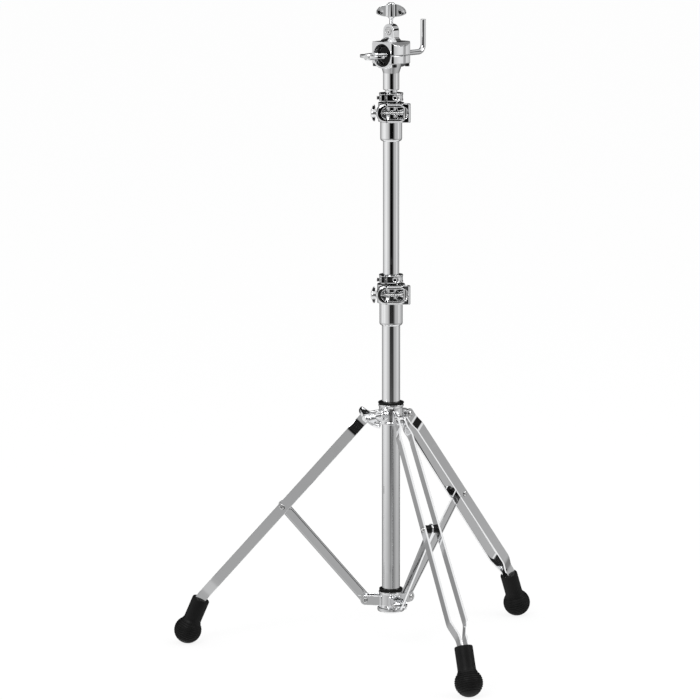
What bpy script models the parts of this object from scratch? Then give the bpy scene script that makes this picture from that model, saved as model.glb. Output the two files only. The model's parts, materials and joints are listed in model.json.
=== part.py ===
"""A single tom stand: a folding double-braced tripod, two height clamps and a ball holder with a bent rod.

Metres, +Z up. The stand rests on Z = 0, its front leg points along -Y, and the origin is under the
middle of its footprint.
"""
from math import asin, cos, pi, radians, sin

import bmesh
import bpy
from mathutils import Matrix, Vector

# Clearances and mesh fineness
GAP = 0.0003
COLUMN_SIDES = 24
SMALL_SIDES = 12

# Tripod linkage: the hub pivot, the middle pivot and the low pivot of each leg
FOOT_REACH = 0.330
PIVOT_REACH = 0.040
LOW_PIVOT_Z = 0.082
LINK_LENGTH = 0.199
LINK_ANGLE = radians(42.05)
LEG_ANGLES = {"front": radians(-90.0), "left": radians(150.0), "right": radians(30.0)}

# Rubber feet
BALL_RADIUS = 0.022
BALL_FLAT = 0.0005
RIB_DEPTH = 0.0010
RIB_PITCH = 0.0040
RIB_LOW = -0.0150
RIB_COUNT = 7
NECK_TILT = radians(23.3)
NECK_RADIUS = 0.0142
NECK_TOP = 0.0568
NECK_EDGE = 0.0020
TAB_DEPTH = 0.029
TAB_BEND_RISE = 0.0027

# Leg bars, braces and their pivots
BAR_WIDTH = 0.017
BAR_THICK = 0.0032
BAR_BEND_START = 0.015
BAR_BEND_END = 0.029
BAR_HALF_SPREAD_TOP = 0.0103
BAR_HALF_SPREAD_LOW = 0.0134
BAR_HALF_SPREAD_FOOT = 0.0054
BAR_LOW_BEND = 0.036
BRACE_WIDTH = 0.0165
BRACE_THICK = 0.0028
PIN_RADIUS = 0.003
PIN_DOME = 0.0020
TOP_PIN_HEAD = 0.0055
MID_PIN_HEAD = 0.0043
LOW_PIN_HEAD = 0.0040
MID_BUSH_RADIUS = 0.0068

# Column tubes
BASE_TUBE_RADIUS = 0.0143
BASE_TUBE_WALL = 0.0012
BASE_TUBE_LENGTH = 0.503
MIDDLE_TUBE_RADIUS = 0.0127
MIDDLE_TUBE_WALL = 0.0014
MIDDLE_TUBE_OUT = 0.2857
MIDDLE_TUBE_INSERT = 0.272
UPPER_TUBE_RADIUS = 0.009525
UPPER_TUBE_WALL = 0.0015
UPPER_TUBE_INSERT = 0.260

# Lower collar with its three forks, and the cap under it
COLLAR_RADIUS = 0.0195
COLLAR_HEIGHT = 0.026
COLLAR_UNDER_PIVOT = 0.011
EAR_THICK = 0.0026
EAR_HALF_GAP = 0.0070
EAR_RADIUS = 0.0080
EAR_BOSS_RADIUS = 0.0055
LOW_RING_RADIUS = 0.0187
LOW_RING_HEIGHT = 0.0045
CAP_RADIUS = 0.0215
CAP_HEIGHT = 0.0062
CAP_PLUG_LENGTH = 0.018

# Sliding hub
HUB_RADIUS = 0.0200
HUB_HEIGHT = 0.0315
HUB_UNDER_PIVOT = 0.0105
HUB_BUSH_WALL = 0.0016
HUB_RING_RADIUS = 0.0206
HUB_RING_HEIGHT = 0.0042
TONGUE_THICK = 0.007
TONGUE_RADIUS = 0.0075
TONGUE_ROOT_HEIGHT = 0.019
HUB_BOSS_RADIUS = 0.0080
HUB_BOSS_REACH = 0.030
HUB_BOLT_ANGLE = radians(210.0)
HUB_BOLT_RISE = 0.006
HUB_WING_REACH = 0.043
HUB_WING_TURN = radians(-35.5)

# Wing bolts
WING_SPAN = 0.0474
WING_DEPTH = 0.0205
WING_THICK = 0.0046
WING_HUB_RADIUS = 0.0054
WING_HUB_LENGTH = 0.0244
BOLT_RADIUS = 0.0030

# Height clamps, seen from the front
CLAMP_TURN = radians(-21.3)
SLEEVE_RADII = {"lower": 0.0183, "upper": 0.0172}
SLEEVE_SKIRTS = {"lower": 0.0500, "upper": 0.0446}
SLEEVE_EDGE = 0.003
CLAMP_UNDER_TUBE_TOP = 0.0145
CLAMP_HEIGHT = 0.0305
SPIGOT_WALL = 0.0020
BUSH_WALL = 0.0020
BUSH_FLANGE = 0.0018
CLAMP_WALL = 0.0050
CLAMP_LEFT = 0.0195
CLAMP_RIGHT = 0.0225
CLAMP_FRONT = 0.0100
CLAMP_HALF_HEIGHT = 0.0148
CLAMP_SLIT = 0.0020
CLAMP_SLIT_X = -0.0070
WINDOW_HALF_HEIGHT = 0.0095
WINDOW_LEFT = 0.0150
KNUCKLE_RADIUS = 0.0080
BARREL_RADIUS = 0.0040
CLAMP_NUT_LENGTH = 0.0078
CLAMP_NUT_SPAN = 0.0264
CLAMP_NUT_TURN = radians(90.0)

# Height-memory rings, split at the front and closed by a key screw across it
MEMORY_RADIUS = 0.0190
MEMORY_HEIGHT = 0.0122
MEMORY_BOSS_LEFT = 0.0160
MEMORY_BOSS_RIGHT = 0.0060
MEMORY_BOSS_REACH = 0.0238
MEMORY_SLIT = 0.0020
MEMORY_SLIT_X = -0.0080
MEMORY_BOLT_REACH = 0.0188
MEMORY_BOLT_RADIUS = 0.0024
MEMORY_SCREW_HEAD = 0.0050
MEMORY_SCREW_FLANGE = 0.0044

# Ball holder, along its bore
HOLDER_TURN = radians(27.7)
HOLDER_NECK_GAP = 0.0045
HOLDER_TUBE_SEAT = 0.028
HOLDER_HALF_LENGTH = 0.0205
HOLDER_HALF_WIDTH = 0.0235
HOLDER_LEDGE = 0.0130
HOLDER_UNDER_RADIUS = 0.0205
HOLDER_FUNNEL_RADIUS = 0.0178
HOLDER_TAPER = 0.0280
HOLDER_NECK_RADIUS = 0.01275
HOLDER_NECK_END = 0.0550
CAP_SHOULDER = 0.0150
CAP_TOP = 0.0210
CAP_TOP_HALF_WIDTH = 0.0175
LUG_HALF_THICK = 0.0065
LUG_RADIUS = 0.0110
LUG_AXIS_RISE = 0.0370
LUG_FLARE = 0.0190
BARREL_NUT_RADIUS = 0.0060
HOLDER_BALL_RADIUS = 0.0179
HOLDER_BALL_HALF_LENGTH = 0.0135
CAVITY_MOUTH_RADIUS = 0.0183
CAVITY_THROAT_RADIUS = 0.0150
CAVITY_THROAT_X = 0.0120
COLLET_RADIUS = 0.0075
COLLET_START = -0.0020
TOP_WING_RISE = 0.0566
BALL_WING_REACH = 0.0345
BALL_BOLT_RADIUS = 0.0035

# Bent rod that carries the drum
ROD_RADIUS = 0.0042
ROD_REACH = 0.0760
ROD_RISE = 0.0508
ROD_BEND = 0.0110
ROD_INNER_END = -0.0010
ROD_BEND_STEPS = 6

COLUMN_Y = FOOT_REACH / 4
TOP_PIVOT_Z = LOW_PIVOT_Z + 2 * LINK_LENGTH * cos(LINK_ANGLE)
MID_PIVOT_Z = LOW_PIVOT_Z + LINK_LENGTH * cos(LINK_ANGLE)
MID_PIVOT_REACH = PIVOT_REACH + LINK_LENGTH * sin(LINK_ANGLE)
HOLE_RADIUS = PIN_RADIUS + GAP
BAR_HALF_SPREAD_HUB = TONGUE_THICK / 2 + GAP + BAR_THICK / 2

COLUMN_BOTTOM = LOW_PIVOT_Z - COLLAR_UNDER_PIVOT
BASE_TUBE_TOP = COLUMN_BOTTOM + BASE_TUBE_LENGTH
MIDDLE_TUBE_BOTTOM = BASE_TUBE_TOP - MIDDLE_TUBE_INSERT
MIDDLE_TUBE_TOP = BASE_TUBE_TOP + MIDDLE_TUBE_OUT
UPPER_TUBE_BOTTOM = MIDDLE_TUBE_TOP - UPPER_TUBE_INSERT
MEMORY_OVER_TUBE = CLAMP_HEIGHT - CLAMP_UNDER_TUBE_TOP + BUSH_FLANGE + 3 * GAP
HOLDER_RISE = MIDDLE_TUBE_TOP + MEMORY_OVER_TUBE + MEMORY_HEIGHT + HOLDER_NECK_GAP + HOLDER_NECK_END
UPPER_TUBE_TOP = HOLDER_RISE - HOLDER_TUBE_SEAT

NECK_AXIS = Vector((-sin(NECK_TILT), 0.0, cos(NECK_TILT)))
BALL_CENTRE = Vector((FOOT_REACH, 0.0, BALL_RADIUS - BALL_FLAT))
TOP_PIVOT = Vector((PIVOT_REACH, 0.0, TOP_PIVOT_Z))
MID_PIVOT = Vector((MID_PIVOT_REACH, 0.0, MID_PIVOT_Z))
LOW_PIVOT = Vector((PIVOT_REACH, 0.0, LOW_PIVOT_Z))
TAB_BEND = BALL_CENTRE + (NECK_TOP + TAB_BEND_RISE) * NECK_AXIS
LEG_LINE = (TAB_BEND - TOP_PIVOT).normalized()
LEG_RUN = (TAB_BEND - TOP_PIVOT).length
LEG_UP = Vector((-LEG_LINE.z, 0.0, LEG_LINE.x))

X_AXIS = Vector((1.0, 0.0, 0.0))
Y_AXIS = Vector((0.0, 1.0, 0.0))
Z_AXIS = Vector((0.0, 0.0, 1.0))


def clear_scene():
    for thing in list(bpy.data.objects):
        bpy.data.objects.remove(thing, do_unlink=True)


def make_collection(name):
    collection = bpy.data.collections.new(name)
    bpy.context.scene.collection.children.link(collection)
    return collection


def make_material(name, colour, roughness, metallic):
    material = bpy.data.materials.new(name)
    material.use_nodes = True
    shader = material.node_tree.nodes["Principled BSDF"]
    shader.inputs["Base Color"].default_value = (*colour, 1.0)
    shader.inputs["Roughness"].default_value = roughness
    shader.inputs["Metallic"].default_value = metallic
    material.diffuse_color = (*colour, 1.0)
    return material


clear_scene()
STAND = make_collection("single_tom_stand")
CUTTERS = make_collection("cutters")
CHROME = make_material("chrome", (0.80, 0.80, 0.81), 0.08, 1.0)
STEEL = make_material("bright_steel", (0.62, 0.62, 0.64), 0.25, 1.0)
RUBBER = make_material("black_rubber", (0.012, 0.012, 0.013), 0.55, 0.0)
NYLON = make_material("black_nylon", (0.018, 0.018, 0.020), 0.40, 0.0)


def new_object(name, data, collection):
    thing = bpy.data.objects.new(name, data)
    collection.objects.link(thing)
    return thing


def turned(outline, sides, centre=(0, 0, 0), axis=Z_AXIS, ring=False):
    """Turn an outline of (radius, height) points, listed top to bottom along the outer side."""
    mesh = bpy.data.meshes.new("turned")
    points = [(radius, 0.0, height) for radius, height in outline]
    edges = [(i, i + 1) for i in range(len(points) - 1)]
    if ring:
        edges.append((len(points) - 1, 0))
    mesh.from_pydata(points, edges, [])
    piece = new_object("turned", mesh, CUTTERS)
    screw = piece.modifiers.new("turn", "SCREW")
    screw.steps = sides
    screw.render_steps = sides
    screw.use_merge_vertices = True
    screw.merge_threshold = 0.000001
    piece.matrix_world = aligned(centre, axis)
    return piece


def aligned(centre, axis, turn=0.0):
    """Place something whose own Z axis follows the given axis, turned about it."""
    rotation = Vector(axis).to_track_quat("Z", "Y").to_matrix().to_4x4()
    return Matrix.Translation(Vector(centre)) @ rotation @ Matrix.Rotation(turn, 4, "Z")


def rod(radius, start, end, sides, end_radius=None):
    """A round bar, or a cone, between two points."""
    start = Vector(start)
    end = Vector(end)
    shape = bmesh.new()
    bmesh.ops.create_cone(shape, cap_ends=True, segments=sides, radius1=radius,
                          radius2=radius if end_radius is None else end_radius,
                          depth=(end - start).length)
    return from_shape(shape, aligned((start + end) / 2, end - start))


def block(low, high):
    low = Vector(low)
    high = Vector(high)
    shape = bmesh.new()
    bmesh.ops.create_cube(shape, size=1.0)
    bmesh.ops.scale(shape, vec=high - low, verts=shape.verts)
    return from_shape(shape, Matrix.Translation((low + high) / 2))


def sphere(radius, centre, sides, rings):
    shape = bmesh.new()
    bmesh.ops.create_uvsphere(shape, u_segments=sides, v_segments=rings, radius=radius)
    return from_shape(shape, Matrix.Translation(Vector(centre)))


def from_shape(shape, matrix):
    mesh = bpy.data.meshes.new("shape")
    shape.to_mesh(mesh)
    shape.free()
    piece = new_object("shape", mesh, CUTTERS)
    piece.matrix_world = matrix
    return piece


def plate(outline, thickness, matrix):
    """A flat outline in the XY plane, extruded evenly to both sides, then placed."""
    curve = bpy.data.curves.new("plate", "CURVE")
    curve.dimensions = "2D"
    curve.fill_mode = "BOTH"
    curve.extrude = thickness / 2
    spline = curve.splines.new("POLY")
    spline.points.add(len(outline) - 1)
    for point, (x, y) in zip(spline.points, outline):
        point.co = (x, y, 0.0, 1.0)
    spline.use_cyclic_u = True
    return as_mesh(new_object("plate", curve, CUTTERS), matrix)


def bent_rod(points, radius):
    """A round rod along a list of points."""
    curve = bpy.data.curves.new("rod", "CURVE")
    curve.dimensions = "3D"
    curve.bevel_depth = radius
    curve.bevel_resolution = 2
    curve.use_fill_caps = True
    spline = curve.splines.new("POLY")
    spline.points.add(len(points) - 1)
    for point, place in zip(spline.points, points):
        point.co = (*place, 1.0)
    return as_mesh(new_object("rod", curve, CUTTERS), Matrix.Identity(4))


def as_mesh(piece, matrix):
    """Replace a curve object by a mesh object whose caps are welded."""
    bpy.context.view_layer.update()
    evaluated = piece.evaluated_get(bpy.context.evaluated_depsgraph_get())
    mesh = bpy.data.meshes.new_from_object(evaluated)
    bpy.data.objects.remove(piece, do_unlink=True)
    shape = bmesh.new()
    shape.from_mesh(mesh)
    bmesh.ops.remove_doubles(shape, verts=shape.verts, dist=0.000001)
    bmesh.ops.recalc_face_normals(shape, faces=shape.faces)
    shape.to_mesh(mesh)
    shape.free()
    solid = new_object("solid", mesh, CUTTERS)
    solid.matrix_world = matrix
    return solid


def slot_outline(half_length, radius, steps=6):
    """A round-ended outline along X: two half circles joined by straight sides."""
    points = []
    for centre, start in ((half_length - radius, -pi / 2), (radius - half_length, pi / 2)):
        for step in range(steps + 1):
            angle = start + pi * step / steps
            points.append((centre + radius * cos(angle), radius * sin(angle)))
    return points


def combine(piece, operation, *tools):
    """Cut the tools away from a piece, or join them to it, in the order given."""
    for tool in tools:
        boolean = piece.modifiers.new(operation.lower(), "BOOLEAN")
        boolean.operation = operation
        boolean.solver = "EXACT"
        boolean.object = tool
        tool.hide_render = True
        tool.display_type = "WIRE"
    return piece


def cut(piece, *tools):
    return combine(piece, "DIFFERENCE", *tools)


def join(piece, *tools):
    return combine(piece, "UNION", *tools)


def baked(piece):
    """Take a piece's finished mesh in its own builder's frame, and clear the workshop."""
    bpy.context.view_layer.update()
    evaluated = piece.evaluated_get(bpy.context.evaluated_depsgraph_get())
    mesh = bpy.data.meshes.new_from_object(evaluated)
    mesh.transform(piece.matrix_world)
    shape = bmesh.new()
    shape.from_mesh(mesh)
    bmesh.ops.remove_doubles(shape, verts=shape.verts, dist=0.000002)
    bmesh.ops.dissolve_degenerate(shape, edges=shape.edges, dist=0.000002)
    shape.to_mesh(mesh)
    shape.free()
    for helper in list(CUTTERS.objects):
        bpy.data.objects.remove(helper, do_unlink=True)
    return mesh


def frame(name, parent, place, turn=0.0):
    """An empty that carries pieces, standing on a joint's axis."""
    empty = new_object(name, None, STAND)
    empty.parent = parent
    empty.location = place
    empty.rotation_euler = (0.0, 0.0, turn)
    empty.empty_display_size = 0.02
    return empty


def place(name, mesh, material, parent, origin=(0, 0, 0)):
    """Put a finished mesh in the stand; its vertices are given in the builder's frame."""
    own = mesh.copy()
    own.name = name
    own.transform(Matrix.Translation(-Vector(origin)))
    own.materials.clear()
    own.materials.append(material)
    own.shade_smooth()
    own.set_sharp_from_angle(angle=radians(30))
    thing = new_object(name, own, STAND)
    thing.parent = parent
    return thing


def ring_outline(inner, outer, low, high, edge=0.0):
    """A tube's section, with a bevelled outer lower edge if one is wanted."""
    points = [(outer, high)]
    if edge:
        points += [(outer, low + edge), (outer - edge * 0.3, low + edge * 0.3), (outer - edge, low)]
    else:
        points.append((outer, low))
    return points + [(inner, low), (inner, high)]


# The leg linkage, in a frame with +X away from the column and +Y across the leg


def bar_sections():
    """Half width, half spread and centre of a leg bar's sections, from its round top to its tab."""
    half = BAR_WIDTH / 2
    sections = []
    for degrees in (14, 35, 55, 75):
        angle = radians(degrees)
        centre = TOP_PIVOT - half * cos(angle) * LEG_LINE
        sections.append((half * sin(angle), BAR_HALF_SPREAD_HUB, centre, LEG_UP))
    runs = ((0.0, BAR_HALF_SPREAD_HUB), (BAR_BEND_START, BAR_HALF_SPREAD_HUB),
            (BAR_BEND_END, BAR_HALF_SPREAD_TOP), (LEG_RUN - BAR_LOW_BEND, BAR_HALF_SPREAD_LOW),
            (LEG_RUN - BAR_LOW_BEND * 0.32, BAR_HALF_SPREAD_FOOT))
    for run, spread in runs:
        sections.append((half, spread, TOP_PIVOT + run * LEG_LINE, LEG_UP))
    tab_up = Vector((NECK_AXIS.z, 0.0, -NECK_AXIS.x))
    middle_up = (LEG_UP + tab_up).normalized()
    sections.append((half, BAR_HALF_SPREAD_FOOT, TAB_BEND, middle_up))
    tab_end = TAB_BEND - (TAB_BEND_RISE + TAB_DEPTH) * NECK_AXIS
    sections.append((half, BAR_HALF_SPREAD_FOOT, tab_end, tab_up))
    return sections


def half_spread_at(run):
    """Half the distance between the two bars of a leg, this far below the hub pivot."""
    share = (run - BAR_BEND_END) / (LEG_RUN - BAR_LOW_BEND - BAR_BEND_END)
    return BAR_HALF_SPREAD_TOP + share * (BAR_HALF_SPREAD_LOW - BAR_HALF_SPREAD_TOP)


def leg_bar(side):
    """A flat bar, formed in two planes: loft its four-cornered sections."""
    shape = bmesh.new()
    loops = []
    for half, spread, centre, up in bar_sections():
        corners = []
        for across, along in ((-1, -1), (1, -1), (1, 1), (-1, 1)):
            point = centre + along * half * up
            point.y = side * spread + across * BAR_THICK / 2
            corners.append(shape.verts.new(point))
        loops.append(corners)
    for one, two in zip(loops, loops[1:]):
        for i in range(4):
            j = (i + 1) % 4
            shape.faces.new((one[i], one[j], two[j], two[i]))
    shape.faces.new(loops[0])
    shape.faces.new(loops[-1])
    bmesh.ops.recalc_face_normals(shape, faces=shape.faces)
    piece = from_shape(shape, Matrix.Identity(4))
    return baked(cut(piece, across_hole(TOP_PIVOT), across_hole(MID_PIVOT)))


def across_hole(pivot, radius=HOLE_RADIUS, reach=0.03):
    """A cutter for a pivot hole, across the leg."""
    return rod(radius, pivot - reach * Y_AXIS, pivot + reach * Y_AXIS, SMALL_SIDES)


def upright(pivot, angle=0.0):
    """Lay a plate's outline in the leg's plane: its X turned up by an angle from the leg's +X."""
    return Matrix.Translation(pivot) @ Matrix.Rotation(-angle, 4, "Y") @ Matrix.Rotation(pi / 2, 4, "X")


def brace():
    middle = (LOW_PIVOT + MID_PIVOT) / 2
    slope = pi / 2 - LINK_ANGLE
    outline = slot_outline(LINK_LENGTH / 2 + BRACE_WIDTH / 2, BRACE_WIDTH / 2)
    piece = plate(outline, BRACE_THICK, upright(middle, slope))
    return baked(cut(piece, across_hole(LOW_PIVOT), across_hole(MID_PIVOT)))


def pivot_pin(pivot, half_length, head):
    """A riveted pin: a shank between two domed heads."""
    outline = [(0.0, half_length + PIN_DOME)]
    for radius, rise in ((0.65, 0.8), (1.0, 0.25), (1.0, 0.0)):
        outline.append((head * radius, half_length + PIN_DOME * rise))
    outline.append((PIN_RADIUS, half_length))
    outline += [(radius, -height) for radius, height in reversed(outline)]
    return baked(turned(outline, SMALL_SIDES, pivot, Y_AXIS))


def mid_bush(side):
    """The bush between the brace and one bar, on the middle pin."""
    run = (MID_PIVOT - TOP_PIVOT).dot(LEG_LINE)
    inner = BRACE_THICK / 2 + GAP
    outer = half_spread_at(run) - BAR_THICK / 2 - GAP
    low, high = sorted((side * inner, side * outer))
    outline = ring_outline(HOLE_RADIUS, MID_BUSH_RADIUS, low, high)
    return baked(turned(outline, SMALL_SIDES, MID_PIVOT, Y_AXIS, ring=True))


def foot():
    """A ribbed rubber ball on a neck, slotted for the two bar tabs and flat where it stands."""
    outline = [(0.0, NECK_TOP), (NECK_RADIUS - NECK_EDGE, NECK_TOP), (NECK_RADIUS, NECK_TOP - NECK_EDGE)]
    outline.append((NECK_RADIUS, (BALL_RADIUS ** 2 - NECK_RADIUS ** 2) ** 0.5))
    for step in range(2 * RIB_COUNT, -1, -1):
        height = RIB_LOW + step * RIB_PITCH / 2
        radius = (BALL_RADIUS ** 2 - height ** 2) ** 0.5
        outline.append((radius - RIB_DEPTH * (step % 2), height))
    outline.append((BALL_RADIUS * 0.38, -BALL_RADIUS * 0.925))
    outline.append((0.0, -BALL_RADIUS))
    piece = turned(outline, 18, BALL_CENTRE, NECK_AXIS)
    slots = []
    for side in (-1, 1):
        slot = block((-BAR_WIDTH / 2 - GAP, -BAR_THICK / 2 - GAP, NECK_TOP - TAB_DEPTH - GAP),
                     (BAR_WIDTH / 2 + GAP, BAR_THICK / 2 + GAP, NECK_TOP + BAR_THICK))
        across = Vector((0.0, side * BAR_HALF_SPREAD_FOOT, 0.0))
        turn = Matrix.Rotation(-NECK_TILT, 4, "Y")
        slot.matrix_world = Matrix.Translation(BALL_CENTRE + across) @ turn @ slot.matrix_world
        slots.append(slot)
    floor = block((0.0, -FOOT_REACH, -FOOT_REACH), (2 * FOOT_REACH, FOOT_REACH, 0.0))
    return baked(cut(piece, *slots, floor))


def build_legs(column):
    bars = {"a": leg_bar(1), "b": leg_bar(-1)}
    bushes = {"a": mid_bush(1), "b": mid_bush(-1)}
    brace_mesh = brace()
    foot_mesh = foot()
    run = (MID_PIVOT - TOP_PIVOT).dot(LEG_LINE)
    top_pin = pivot_pin(TOP_PIVOT, BAR_HALF_SPREAD_HUB + BAR_THICK / 2 + GAP, TOP_PIN_HEAD)
    mid_pin = pivot_pin(MID_PIVOT, half_spread_at(run) + BAR_THICK / 2 + GAP, MID_PIN_HEAD)
    low_pin = pivot_pin(LOW_PIVOT, EAR_HALF_GAP + EAR_THICK + GAP, LOW_PIN_HEAD)
    for name, angle in LEG_ANGLES.items():
        plane = frame(name + "_leg_plane", column, (0, 0, 0), angle)
        low = frame(name + "_low_axis", plane, LOW_PIVOT)
        mid = frame(name + "_mid_axis", plane, MID_PIVOT)
        place(name + "_low_pin", low_pin, STEEL, low, LOW_PIVOT)
        place(name + "_brace", brace_mesh, CHROME, low, LOW_PIVOT)
        for side in ("a", "b"):
            place(name + "_leg_bar_" + side, bars[side], CHROME, mid, MID_PIVOT)
            place(name + "_mid_bush_" + side, bushes[side], NYLON, mid, MID_PIVOT)
        place(name + "_mid_pin", mid_pin, STEEL, mid, MID_PIVOT)
        place(name + "_top_pin", top_pin, STEEL, mid, MID_PIVOT)
        place(name + "_foot", foot_mesh, RUBBER, mid, MID_PIVOT)


# Column, lower collar and hub, in the column's frame


def tube(radius, wall, bottom, top):
    return baked(turned(ring_outline(radius - wall, radius, bottom, top), COLUMN_SIDES, ring=True))


def around(angle, pivot):
    """The place that a leg-frame point takes on the leg that stands at this angle."""
    return Matrix.Rotation(angle, 4, "Z") @ Vector(pivot)


def turn_about_column(piece, angle):
    piece.matrix_world = Matrix.Rotation(angle, 4, "Z") @ piece.matrix_world
    return piece


def lower_collar():
    """A ring on the foot of the base tube, with a fork for each brace."""
    top = COLUMN_BOTTOM + COLLAR_HEIGHT
    bore = BASE_TUBE_RADIUS + GAP
    piece = turned(ring_outline(bore, COLLAR_RADIUS, COLUMN_BOTTOM, top), COLUMN_SIDES, ring=True)
    root = (BASE_TUBE_RADIUS + COLLAR_RADIUS) / 2
    length = PIVOT_REACH - root + EAR_RADIUS
    face = EAR_HALF_GAP + EAR_THICK
    ears = []
    gaps = []
    bosses = []
    holes = []
    for angle in LEG_ANGLES.values():
        outline = [(x, y) for x, y in slot_outline(length, EAR_RADIUS, 5) if x >= 0]
        outline += [(0.0, EAR_RADIUS), (0.0, -EAR_RADIUS)]
        ears.append(plate(outline, 2 * face, upright(Vector((root, 0.0, LOW_PIVOT_Z)))))
        reach = PIVOT_REACH + 2 * EAR_RADIUS
        gaps.append(block((COLLAR_RADIUS + 2 * GAP, -EAR_HALF_GAP, LOW_PIVOT_Z - 2 * EAR_RADIUS),
                          (reach, EAR_HALF_GAP, LOW_PIVOT_Z + 2 * EAR_RADIUS)))
        for side in (-1, 1):
            start = LOW_PIVOT + side * (BRACE_THICK / 2 + GAP) * Y_AXIS
            end = LOW_PIVOT + side * (EAR_HALF_GAP + GAP) * Y_AXIS
            bosses.append(rod(EAR_BOSS_RADIUS, start, end, SMALL_SIDES))
            turn_about_column(bosses[-1], angle)
        holes.append(across_hole(LOW_PIVOT))
        for tool in (ears[-1], gaps[-1], holes[-1]):
            turn_about_column(tool, angle)
    bore_tool = rod(bore, (0, 0, 0), (0, 0, 2 * top), COLUMN_SIDES)
    return baked(cut(join(cut(join(piece, *ears), *gaps), *bosses), *holes, bore_tool))


def bottom_cap():
    plug = BASE_TUBE_RADIUS - BASE_TUBE_WALL - GAP
    top = COLUMN_BOTTOM - GAP
    outline = [(0.0, top + CAP_PLUG_LENGTH), (plug, top + CAP_PLUG_LENGTH), (plug, top), (CAP_RADIUS, top),
               (CAP_RADIUS, top - CAP_HEIGHT * 0.6), (CAP_RADIUS * 0.86, top - CAP_HEIGHT),
               (0.0, top - CAP_HEIGHT)]
    return baked(turned(outline, COLUMN_SIDES))


def hub():
    """The sliding casting: a ring, three tongues and a boss for the wing bolt."""
    bottom = TOP_PIVOT_Z - HUB_UNDER_PIVOT
    top = bottom + HUB_HEIGHT
    bore = BASE_TUBE_RADIUS + GAP + HUB_BUSH_WALL + GAP
    piece = turned(ring_outline(bore, HUB_RADIUS, bottom, top), COLUMN_SIDES, ring=True)
    root = (bore + HUB_RADIUS) / 2
    tongues = []
    holes = []
    for angle in LEG_ANGLES.values():
        low = -TONGUE_RADIUS
        high = low + TONGUE_ROOT_HEIGHT
        outline = [(root, high), (root, low)]
        for step in range(7):
            turn = -pi / 2 + (pi * 0.83) * step / 6
            outline.append((PIVOT_REACH + TONGUE_RADIUS * cos(turn), TONGUE_RADIUS * sin(turn)))
        tongue = plate(outline, TONGUE_THICK, upright(Vector((0.0, 0.0, TOP_PIVOT_Z))))
        tongues.append(turn_about_column(tongue, angle))
        holes.append(turn_about_column(across_hole(TOP_PIVOT), angle))
    height = TOP_PIVOT_Z + HUB_BOLT_RISE
    boss = rod(HUB_BOSS_RADIUS, (root, 0, height), (HUB_BOSS_REACH, 0, height), SMALL_SIDES)
    hole = rod(BOLT_RADIUS + GAP, (0, 0, height), (2 * HUB_BOSS_REACH, 0, height), SMALL_SIDES)
    turn_about_column(boss, HUB_BOLT_ANGLE)
    turn_about_column(hole, HUB_BOLT_ANGLE)
    bore_tool = rod(bore, (0, 0, bottom - bore), (0, 0, top + bore), COLUMN_SIDES)
    return baked(cut(join(piece, *tongues, boss), *holes, hole, bore_tool))


def hub_bush():
    """The flanged bush that the hub slides on."""
    bore = BASE_TUBE_RADIUS + GAP
    bottom = TOP_PIVOT_Z - HUB_UNDER_PIVOT
    seat = bottom + HUB_HEIGHT + GAP
    outline = [(HUB_RING_RADIUS * 0.95, seat + HUB_RING_HEIGHT), (HUB_RING_RADIUS, seat + HUB_RING_HEIGHT / 2),
               (HUB_RING_RADIUS * 0.97, seat), (bore + HUB_BUSH_WALL, seat),
               (bore + HUB_BUSH_WALL, bottom), (bore, bottom), (bore, seat + HUB_RING_HEIGHT)]
    return baked(turned(outline, COLUMN_SIDES, ring=True))


def wing_outline(span, depth):
    """One wing of a wing bolt, beside its hub: flat underneath, round outside."""
    half = span / 2
    shares = ((0.80, 0.04), (0.94, 0.13), (1.00, 0.32), (0.96, 0.52), (0.84, 0.73), (0.62, 0.90),
              (0.36, 0.98), (0.08, 1.00))
    return [(half * x, depth * y) for x, y in shares]


def wing_pair(span, depth, thickness, matrix):
    """Both wings as one plate: its own X is the span and its own Y the bolt's axis."""
    right = wing_outline(span, depth)
    left = [(-x, y) for x, y in reversed(right)]
    return plate(right + left, thickness, matrix @ Matrix.Rotation(pi / 2, 4, "X"))


def wing_bolt(tip, base, radius, turn=0.0):
    """A bolt from its tip to the base of its winged head, which goes on along the same line."""
    tip = Vector(tip)
    base = Vector(base)
    along = (base - tip).normalized()
    head = rod(WING_HUB_RADIUS, base, base + WING_HUB_LENGTH * along, SMALL_SIDES)
    wing_base = base + (WING_HUB_LENGTH - WING_DEPTH) / 2 * along
    wings = wing_pair(WING_SPAN, WING_DEPTH, WING_THICK, aligned(wing_base, along, turn))
    shank = rod(radius, tip, base + WING_HUB_RADIUS * along, SMALL_SIDES)
    return baked(join(head, wings, shank))


# Height clamps, in a frame with -Y towards the front


def spigot_bore(tube_radius):
    """Radius of the clamp's bore, round the sleeve's spigot."""
    return tube_radius + GAP + SPIGOT_WALL + GAP


def sleeve(level, tube_radius, tube_top):
    """The sleeve on a tube's top: a skirt below the clamp, and a thinner spigot inside it."""
    outer = SLEEVE_RADII[level]
    spigot = spigot_bore(tube_radius) - GAP
    bore = tube_radius + GAP
    bottom = tube_top - SLEEVE_SKIRTS[level]
    shoulder = tube_top - CLAMP_UNDER_TUBE_TOP
    top = shoulder + CLAMP_HEIGHT + GAP
    outline = [(spigot, top), (spigot, shoulder), (outer, shoulder), (outer, bottom + SLEEVE_EDGE),
               (outer - SLEEVE_EDGE * 0.3, bottom + SLEEVE_EDGE * 0.3), (outer - SLEEVE_EDGE, bottom),
               (bore, bottom), (bore, top)]
    return baked(turned(outline, COLUMN_SIDES, ring=True))


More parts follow.
